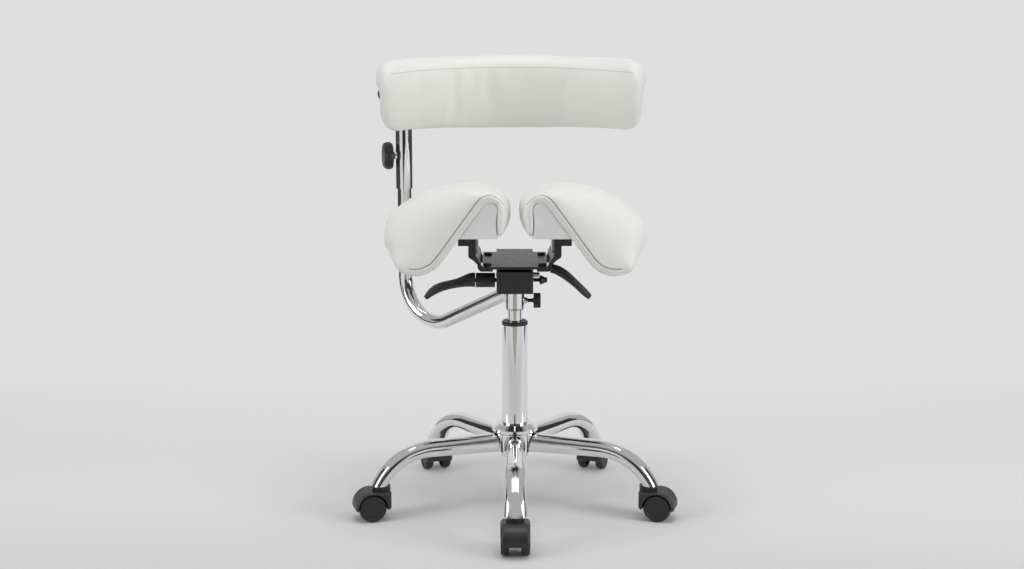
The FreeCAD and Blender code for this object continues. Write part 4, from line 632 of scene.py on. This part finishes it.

# %% [markdown]
# ## The backrest's seams
# A seam runs along the front panel just under the rolled top edge, in a greyer leather that is
# painted shade for its groove, and a soft ridge closes the panel at each end. Rays from the
# column's axis find the leather at each angle and height.

# %% Backrest seams
def on_pad(tree, angle, height, sink):
    """The point of the pad's inner face at an angle round the column, a little below the cover."""
    way = Vector((math.cos(math.radians(angle)), math.sin(math.radians(angle)), 0))
    hit = tree.ray_cast(Vector((0, 0, height)), way)
    return None if hit[0] is None else hit[0] - hit[1] * sink


def pad_route(tree, ends, sink, count=120):
    """Points on the pad between two places, each given as an angle and a height."""
    (angle, height), (last_angle, last_height) = ends
    shares = [step / count for step in range(count + 1)]
    route = [on_pad(tree, angle + (last_angle - angle) * share,
                    height + (last_height - height) * share, sink) for share in shares]
    return [point for point in route if point is not None]


def pad_spans(mesh):
    """Centre and half of the pad's angle round the column, and its lowest and highest points."""
    angles = [math.degrees(math.atan2(vertex.co.y, vertex.co.x)) for vertex in mesh.vertices]
    heights = [vertex.co.z for vertex in mesh.vertices]
    first, last = min(angles), max(angles)
    return (first + last) / 2, (last - first) / 2, min(heights), max(heights)


# %% Panel seam and end ridges
ROLL_HEIGHT = 0.022
FOOT_HEIGHT = 0.014
PANEL_MARGIN = 2.6
centre, half_span, low, high = pad_spans(back_pad.data)
pad_tree = search_tree(back_pad.data)
seam_height = high - ROLL_HEIGHT
panel_half = half_span - PANEL_MARGIN
panel_ends = ((centre - panel_half, seam_height), (centre + panel_half, seam_height))
top_seam = pad_route(pad_tree, panel_ends, 0.0003)
# The panel seam's greyer leather is painted shade for its groove
piping("panel_seam", [top_seam], 0.0008, "back", groove_shade_leather)
ridges = [pad_route(pad_tree, ((angle, height - 0.004), (angle, low + FOOT_HEIGHT)), 0.0008, 40)
          for angle, height in panel_ends]
piping("panel_ridges", ridges, 0.0012, "back", leather)
print("panel seam through", len(top_seam), "points, ridges", [len(ridge) for ridge in ridges])

# %% [markdown]
# ## The set
# The stool stands on pale paper that sweeps up behind it. The paper is narrow beside the stool, the
# room in front is dark between the lamps, and a darker sheet before the camera is a painted
# shadow, the wedge of shade between the lamps' pools of light. All of that is out of the picture,
# but it draws the black lines along the chrome. Seen by the camera, the far paper fades into its
# own plain tone. The paper's colour holds painted shade as well: it darkens towards the front.

# %% Tones of the set
PAPER_TONE = 0.83
# Painted shade: shares of the paper's tone along its depth, darker towards the front of the stool
PAPER_PAINTED_SHADE = ((0.26, 0.98), (0.42, 0.62), (0.62, 0.78), (0.84, 1.0))
PAINTED_SHADE_FROM, PAINTED_SHADE_TO = -2.0, 0.5
BACK_TONE = 0.735


def grey(tone):
    return tone, tone, tone, 1


def glow_where(tree, shader, share):
    """Blend a shader into the backdrop's even tone by a share."""
    glow = tree.nodes.new("ShaderNodeEmission")
    glow.inputs["Color"].default_value = grey(BACK_TONE)
    mix = tree.nodes.new("ShaderNodeMixShader")
    tree.links.new(share, mix.inputs["Fac"])
    tree.links.new(shader.outputs["BSDF"], mix.inputs[1])
    tree.links.new(glow.outputs["Emission"], mix.inputs[2])
    tree.links.new(mix.outputs["Shader"], tree.nodes["Material Output"].inputs["Surface"])


# %% Pale paper
def paper_material():
    """Pale paper, darker towards the front as painted shade, that turns into an even tone behind
    the stool, for the eye and for mirrors.
    """
    material, tree, shader, place = node_tree("pale_paper", (PAPER_TONE,) * 3, 0.9)
    split = tree.nodes.new("ShaderNodeSeparateXYZ")
    tree.links.new(place.outputs["Object"], split.inputs["Vector"])
    depth = split.outputs["Y"]
    # Painted shade: the ramp darkens the paper's colour towards the front
    painted_shade_ramp = tree.nodes.new("ShaderNodeValToRGB")
    painted_shade_ramp.color_ramp.interpolation = "B_SPLINE"
    for stop in painted_shade_ramp.color_ramp.elements:
        stop.color = grey(PAPER_TONE)
    for position, share in PAPER_PAINTED_SHADE:
        stop = painted_shade_ramp.color_ramp.elements.new(position)
        stop.color = grey(PAPER_TONE * share)
    tree.links.new(mapped(tree, depth, PAINTED_SHADE_FROM, PAINTED_SHADE_TO), painted_shade_ramp.inputs["Fac"])
    tree.links.new(painted_shade_ramp.outputs["Color"], shader.inputs["Base Color"])
    far = mapped(tree, depth, -0.1, 1.1, smooth=True)
    near = mapped(tree, depth, -1.1, -1.6, smooth=True)
    path = tree.nodes.new("ShaderNodeLightPath")
    seen = combined(tree, "ADD", path.outputs["Is Camera Ray"], path.outputs["Is Glossy Ray"])
    seen = combined(tree, "ADD", seen, path.outputs["Is Transmission Ray"], clamp=True)
    share = combined(tree, "MULTIPLY", combined(tree, "MAXIMUM", far, near), seen)
    glow_where(tree, shader, share)
    return material


# %% Dark cloth and mat
def dark_material(name, color):
    """Dark in every mirror and under every lamp, but the paper's own tone to the eye."""
    material, tree, shader, place = node_tree(name, color, 0.6)
    path = tree.nodes.new("ShaderNodeLightPath")
    glow_where(tree, shader, path.outputs["Is Camera Ray"])
    tree.links.new(spread(tree, noise(tree, place, 5, 3), 0.5, 0.7), shader.inputs["Roughness"])
    return material


# %% Pieces of the set
def stage_piece(name, bm, material):
    """A piece of the set, which isn't part of the stool."""
    mesh = bpy.data.meshes.new(name)
    bmesh.ops.recalc_face_normals(bm, faces=bm.faces)
    bm.to_mesh(mesh)
    bm.free()
    shade_smooth(mesh)
    piece = bpy.data.objects.new(name, mesh)
    bpy.context.scene.collection.objects.link(piece)
    mesh.materials.append(material)


def make_flat(name, corners, material):
    """A flat piece of the set through its corners."""
    bm = bmesh.new()
    bm.faces.new([bm.verts.new(corner) for corner in corners])
    stage_piece(name, bm, material)


# %% Paper sweep
WALL_FOOT = 2.4
WALL_BEND = 1.2
WALL_TOP = 4.5
WALL_HALF = 2.3
BEND_STEPS = 12
PAPER_ROWS = ((-4.2, 3.2), (-0.15, 3.0), (0.0, 1.4), (0.5, 1.5), (WALL_FOOT, WALL_HALF))


def make_paper(material):
    """A floor that is narrow beside the stool and curves up into a wall, drawn out edge by edge."""
    rows = [(y, 0, half) for y, half in PAPER_ROWS]
    for step in range(1, BEND_STEPS + 1):
        turn = math.pi / 2 * step / BEND_STEPS
        rows.append((WALL_FOOT + WALL_BEND * math.sin(turn), WALL_BEND * (1 - math.cos(turn)),
                     WALL_HALF))
    rows.append((WALL_FOOT + WALL_BEND, WALL_TOP, WALL_HALF))
    (y, z, half), *further = rows
    bm = bmesh.new()
    edge = bm.edges.new((bm.verts.new((-half, y, z)), bm.verts.new((half, y, z))))
    for y, z, half in further:
        made = bmesh.ops.extrude_edge_only(bm, edges=[edge])
        ends = [item for item in made["geom"] if isinstance(item, bmesh.types.BMVert)]
        for vertex in ends:
            vertex.co = (math.copysign(half, vertex.co.x), y, z)
        edge = bm.edges.get(ends)
    stage_piece("paper", bm, material)


paper = paper_material()
make_paper(paper)
print("paper swept")

# %% [markdown]
# ## What the chrome sees
# Chrome looks like chrome only when dark things stand round it. The studio floor round the paper,
# a painted shadow on the floor and a curtain before the stool and one at each side are those dark
# things. The painted shadow is a dark sheet for the wedge of shade between the lamps' pools of
# light. Two low pale boards in front give the upright tubes their bright bands. The eye sees them
# all in the paper's tone, and only mirrors and light meet their real colour.

# %% Dark surroundings
FLOOR_HALF = 9
dark_floor = dark_material("studio_floor", (0.035, 0.035, 0.036))
make_flat("studio_floor", [(x * FLOOR_HALF, y * FLOOR_HALF, -0.004)
                           for x, y in ((-1, -1), (1, -1), (1, 1), (-1, 1))], dark_floor)
# Painted shadow: a dark sheet on the floor before the camera stands for the shade between the
# lamps' pools of light
floor_shadow_tone = dark_material("painted_floor_shadow", (0.44, 0.42, 0.36))
make_flat("painted_floor_shadow", ((0, -1.1, 0.001), (-0.67, -1.55, 0.001), (-1.7, -4.2, 0.001),
                        (1.7, -4.2, 0.001), (0.67, -1.55, 0.001)), floor_shadow_tone)


def upright(name, first, last, foot, top, material):
    """A flat piece that stands on the line between two points of the floor."""
    make_flat(name, ((*first, foot), (*last, foot), (*last, top), (*first, top)), material)


curtain = dark_material("curtain", (0.03, 0.03, 0.03))
upright("curtain_back", (-1.0, -4.6), (1.0, -4.6), 0, 2.4, curtain)
for way in (-1, 1):
    upright("low_reflector", (way * 1.6, -3.9), (way * 3.3, -2.0), 0, 0.6, paper)
    upright("curtain_side", (way * 1.75, 0.15), (way * 1.75, 0.7), 0.02, 1.1, curtain)
print("surroundings placed")

# %% [markdown]
# ## Light
# A softbox overhead lights the rolled edges, and a large one at each side models the seat. The
# right one is stronger, as in a studio where one lamp leads and the other only opens the shadows.

# %% Lights
SIDE_BOX = (1.5, 2.4)


def area_light(name, location, target, size, power):
    """A rectangular softbox that looks at a point."""
    data = bpy.data.lights.new(name, "AREA")
    data.shape = "RECTANGLE"
    data.size, data.size_y = size
    data.energy = power
    lamp = bpy.data.objects.new(name, data)
    lamp.location = location
    aim = Vector(target) - Vector(location)
    lamp.rotation_euler = aim.to_track_quat("-Z", "Y").to_euler()
    bpy.context.scene.collection.objects.link(lamp)


area_light("top_softbox", (0, -0.3, 3.2), (0, 0.05, 0.4), (2.2, 1.6), 31)
area_light("left_softbox", (-3.0, -1.5, 1.5), (0, 0, 0.5), SIDE_BOX, 38)
area_light("right_softbox", (3.0, -1.5, 1.5), (0, 0, 0.5), SIDE_BOX, 51)
print("three softboxes")

# %% [markdown]
# ## The room
# The room fills the shadows with an even pale light. Its front is dark from the floor up to half
# way, as behind any camera, and the eye sees only the backdrop's tone.

# %% Room
ROOM_LEVEL = 0.5
DARK_LEVEL = 0.12


def make_world():
    world = bpy.data.worlds.new("studio")
    world.use_nodes = True
    tree = world.node_tree
    place = tree.nodes.new("ShaderNodeTexCoord")
    split = tree.nodes.new("ShaderNodeSeparateXYZ")
    tree.links.new(place.outputs["Generated"], split.inputs["Vector"])
    front = mapped(tree, split.outputs["Y"], -0.2, -0.5)
    low_part = mapped(tree, split.outputs["Z"], 0.55, 0.4)
    dark = combined(tree, "MULTIPLY", front, low_part)
    room = tree.nodes["Background"]
    room.inputs["Color"].default_value = grey(0.9)
    tree.links.new(mapped(tree, dark, 0, 1, ROOM_LEVEL, DARK_LEVEL), room.inputs["Strength"])
    backdrop = tree.nodes.new("ShaderNodeBackground")
    backdrop.inputs["Color"].default_value = grey(BACK_TONE)
    path = tree.nodes.new("ShaderNodeLightPath")
    mix = tree.nodes.new("ShaderNodeMixShader")
    tree.links.new(path.outputs["Is Camera Ray"], mix.inputs["Fac"])
    tree.links.new(room.outputs["Background"], mix.inputs[1])
    tree.links.new(backdrop.outputs["Background"], mix.inputs[2])
    tree.links.new(mix.outputs["Shader"], tree.nodes["World Output"].inputs["Surface"])
    bpy.context.scene.world = world


make_world()
bpy.context.scene.view_settings.view_transform = "Standard"
